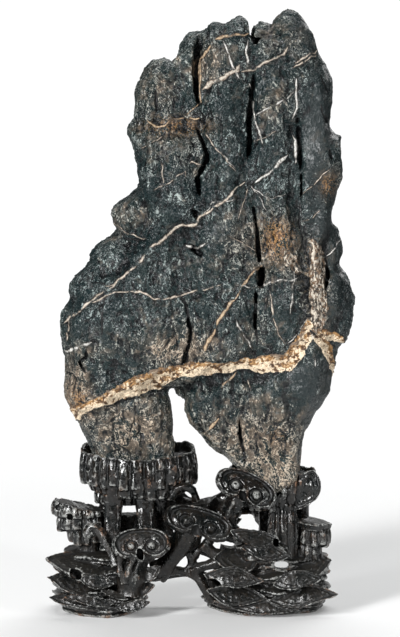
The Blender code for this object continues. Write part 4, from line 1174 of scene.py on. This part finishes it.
roots = [root(path, thickness) for thickness, path in (
    (7.5, [(-32, 6, 92), (-14, 6, 88), (4, 6, 86), (20, 4, 86), (32, 2, 90)]),
    (7.0, [(6, 2, 90), (18, 0, 81), (30, -2, 72)]),
    (8.0, [(-37.6, -11, 34), (-30.6, -13, 40), (-19.6, -19, 56), (-9.6, -27, 73), (-3.6, -33, 78)]),
    (3.2, [(-18.6, -19, 58), (-10.6, -15, 50), (-7.6, -13, 43), (-11.6, -12, 35)]),
    (3.2, [(8.4, -19, 64), (-3.6, -15, 52), (-7.6, -13, 43)]),
    (3.8, [(-43.6, -9, 31), (-25.6, -11, 35), (-11.6, -12, 34), (-1.6, -13, 29), (4.4, -13, 18),
           (10.4, -11, 8)]),
    (4.3, [(-7.6, -12, 35), (4.4, -14, 40), (16.4, -15, 43), (32.4, -15, 42)]),
    (4.3, [(2.4, -17, 60), (12.4, -17, 51), (26.4, -17, 46)]),
    (4.3, [(6.4, -27, 74), (20.4, -23, 69), (34.4, -21, 63)]),
    (5.2, [(-27.6, 7, 102), (-13.6, 11, 92), (-1.6, 13, 88), (12.4, 11, 91), (26.4, 7, 100)]),
    (5.2, [(0.4, 13, 88), (4.4, 3, 84), (4.4, -21, 80)]),
    (3.8, [(-47.6, 19, 52), (-15.6, 21, 51), (6.4, 21, 46), (22.4, 21, 40), (42.4, 19, 40)]),
    (3.8, [(-45.6, 15, 26), (-15.6, 17, 29), (0.4, 17, 26), (12.4, 17, 18), (20.4, 15, 10)]),
    (3.0, [(-26, -24, 100), (-22, -27, 108), (-14, -28, 111), (-7, -26, 107), (-4, -22, 98)]),
    (4.3, [(-7.6, 21, 50), (0.4, 17, 70), (0.4, 13, 88)]))]
openwork = fused("openwork", [lingzhi((-1.6, -35.4, 80), (30.5, 14, 7), 58, 16), *roots],
                 [window(-4.2, 67, 3.6, 6.6, 0, -80, -35)])


def tool_marks(places):
    """How far the carved skin stands out, in mm: flat cuts of a knife, and two sizes of unevenness."""
    bent = places + 1.5 * drifts(places, 9, 51, 52, 53)
    return (0.30 * chips(bent, (6, 6, 8), 54) + 0.30 * drift(bent, (3.5, 3.5, 7), 55)
            + 0.12 * drift(bent, (1.8, 1.8, 4), 56))


for piece in (left_pedestal, right_pedestal, openwork):
    relieved(piece, tool_marks, 0.3, 3)
    thinned(piece)
    mark_ridges(piece, 3, 14, 0.7)
    _, normals = points_of(piece)
    attribute(piece, "facing_up", "FLOAT", "POINT", evened(piece, soft_step(normals[:, 2], 0.45, 0.95), 4))

# Near-black polished wood: glossy reeds, rims rubbed red-brown or painted pale as a highlight, hollows
# painted near-black as shade, and level faces dulled by dust. The upper parts are handled more, so they
# have more polish.
shader, coords, dark_hardwood = finish_of("dark_hardwood", 0.24, 1.56)
out = read(coords, "standing_out")
level = read(coords, "facing_up")
grain = coords.noise(3.0, 4, 0.6, 0.3, (1, 1, 0.22))
patches = coords.noise(16, 3, 0.6, 0.5)
dust = coords.noise(2.2, 3, 0.65)
fleck = coords.noise(1.1, 1, 0.6)
handled = coords.part("Z").step(0.066, 0.096)
body = patches.step(0.35, 0.7).mixed((0.0018, 0.0032, 0.0034), (0.008, 0.0056, 0.0044))
body = (grain.step(0.52, 0.70) * 0.5).mixed(body, (0.030, 0.020, 0.012))
dulled = (level * 0.9 + (patches - 0.5) * 0.8 + (dust - 0.5) + (1 - handled) * 0.35).step(0.1, 1.0)
body = (dulled * (0.2 + fleck.step(0.40, 0.60) * 0.8)).mixed(body, (0.012, 0.0100, 0.0068))
# The rims: red-brown where rubbed through, pale grey as a painted highlight.
rim_wear_and_highlight = out.step(0.30, 0.75) * dust.step(0.38, 0.54)
body = (rim_wear_and_highlight * 0.85).mixed(body, patches.step(0.50, 0.66).mixed((0.340, 0.345, 0.330),
                                                               (0.220, 0.120, 0.070)))
# Painted shade: the hollows are darkened to near-black.
body = out.step(-0.06, -0.50).mixed(body, (0.0006, 0.0009, 0.0009))
joined(shader, "Base Color", body)
joined(shader, "Roughness", 0.11 + dust * 0.12 + dulled * 0.30 + out.step(-0.1, -0.6) * 0.3
       + (1 - handled) * out.step(0.45, 0.10) * 0.08)
height = (grain * 0.16 + dust * 0.14 + fleck * 0.08) * (1 - handled * 0.6) + (
    coords.facets(5, 0.30, (1, 1, 0.4)) + coords.facets(2.4, 0.12)) * (handled * 0.6 + 0.4)
bumped(shader, height)
for piece in (left_pedestal, right_pedestal, openwork):
    coated(piece, dark_hardwood)
    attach(piece, "root")
    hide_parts("stand")

# The studio: a pale floor that fades out into a white surround. Two tall strip lights stand at the left
# and right of the front, a wide soft one hangs above and behind, and a weak one stands at the back.

FLOOR_REACH = 1.6  # m
disc = bpy.data.meshes.new("floor")
turn = circle(96)
disc.from_pydata(ring(FLOOR_REACH * np.cos(turn), FLOOR_REACH * np.sin(turn), 0).tolist(), [],
                 [list(range(len(turn)))])
floor = placed("floor", disc)
shader, coords, floor_paper = finish_of("floor_paper", 0.6, 1.5)
shader.inputs["Base Color"].default_value = (0.97, 0.97, 0.97, 1)
shader.inputs["Specular IOR Level"].default_value = 0.2
joined(shader, "Alpha", coords.vector("LENGTH", output="Value").step(1.1, 0.35) * 0.92)
disc.materials.append(floor_paper)

for name, place, aim, size, power in (
        ("key", (-1.5, -2.3, 1.2), (0, 0, 0.25), (0.45, 1.9), 113),
        ("fill", (1.9, -2.1, 0.85), (0, 0, 0.25), (0.3, 1.5), 25),
        ("top", (0.2, 1.1, 2.3), (0, 0, 0.2), (1.6, 1.0), 29),
        ("back", (0.9, 2.4, 1.2), (0, 0, 0.25), (1.0, 1.3), 14)):
    lamp = bpy.data.lights.new(name, "AREA")
    lamp.shape = "RECTANGLE"
    lamp.size, lamp.size_y = size
    lamp.energy = power
    made = placed(name, lamp)
    made.location = place
    made.rotation_euler = (Vector(aim) - Vector(place)).to_track_quat("-Z", "Y").to_euler()

world = bpy.data.worlds.new("studio")
bpy.context.scene.world = world
world.use_nodes = True
nodes, links = world.node_tree.nodes, world.node_tree.links
surround = nodes["Background"]
surround.inputs["Color"].default_value = (0.91, 0.98, 0.98, 1)
surround.inputs["Strength"].default_value = 0.11
backdrop = nodes.new("ShaderNodeBackground")
backdrop.inputs["Color"].default_value = (1, 1, 1, 1)
backdrop.inputs["Strength"].default_value = 1.05
chosen = nodes.new("ShaderNodeMixShader")
links.new(nodes.new("ShaderNodeLightPath").outputs["Is Camera Ray"], chosen.inputs["Fac"])
links.new(surround.outputs["Background"], chosen.inputs[1])
links.new(backdrop.outputs["Background"], chosen.inputs[2])
links.new(chosen.outputs["Shader"], nodes["World Output"].inputs["Surface"])
bpy.context.scene.view_settings.view_transform = "Standard"

# The camera looks at the middle of the object along the stone's layers, from eight degrees above it
# and from far off, so that upright lines stay upright.

AWAY = 9.0  # m
TARGET = (-0.0007, 0.0, 0.2532)
VIEW_TALL = 0.548  # m, seen from the bottom of the frame to its top, at the stone
SENSOR = 36  # mm
camera_data = bpy.data.cameras.new("camera")
camera_data.sensor_width = SENSOR
camera_data.lens = SENSOR * AWAY / VIEW_TALL
camera_data.clip_end = 100
camera = placed("camera", camera_data)
camera.location = (TARGET[0], -AWAY * math.cos(BEDDING), TARGET[2] + AWAY * math.sin(BEDDING))
camera.rotation_euler = (math.pi / 2 - BEDDING, 0, 0)
bpy.context.scene.camera = camera
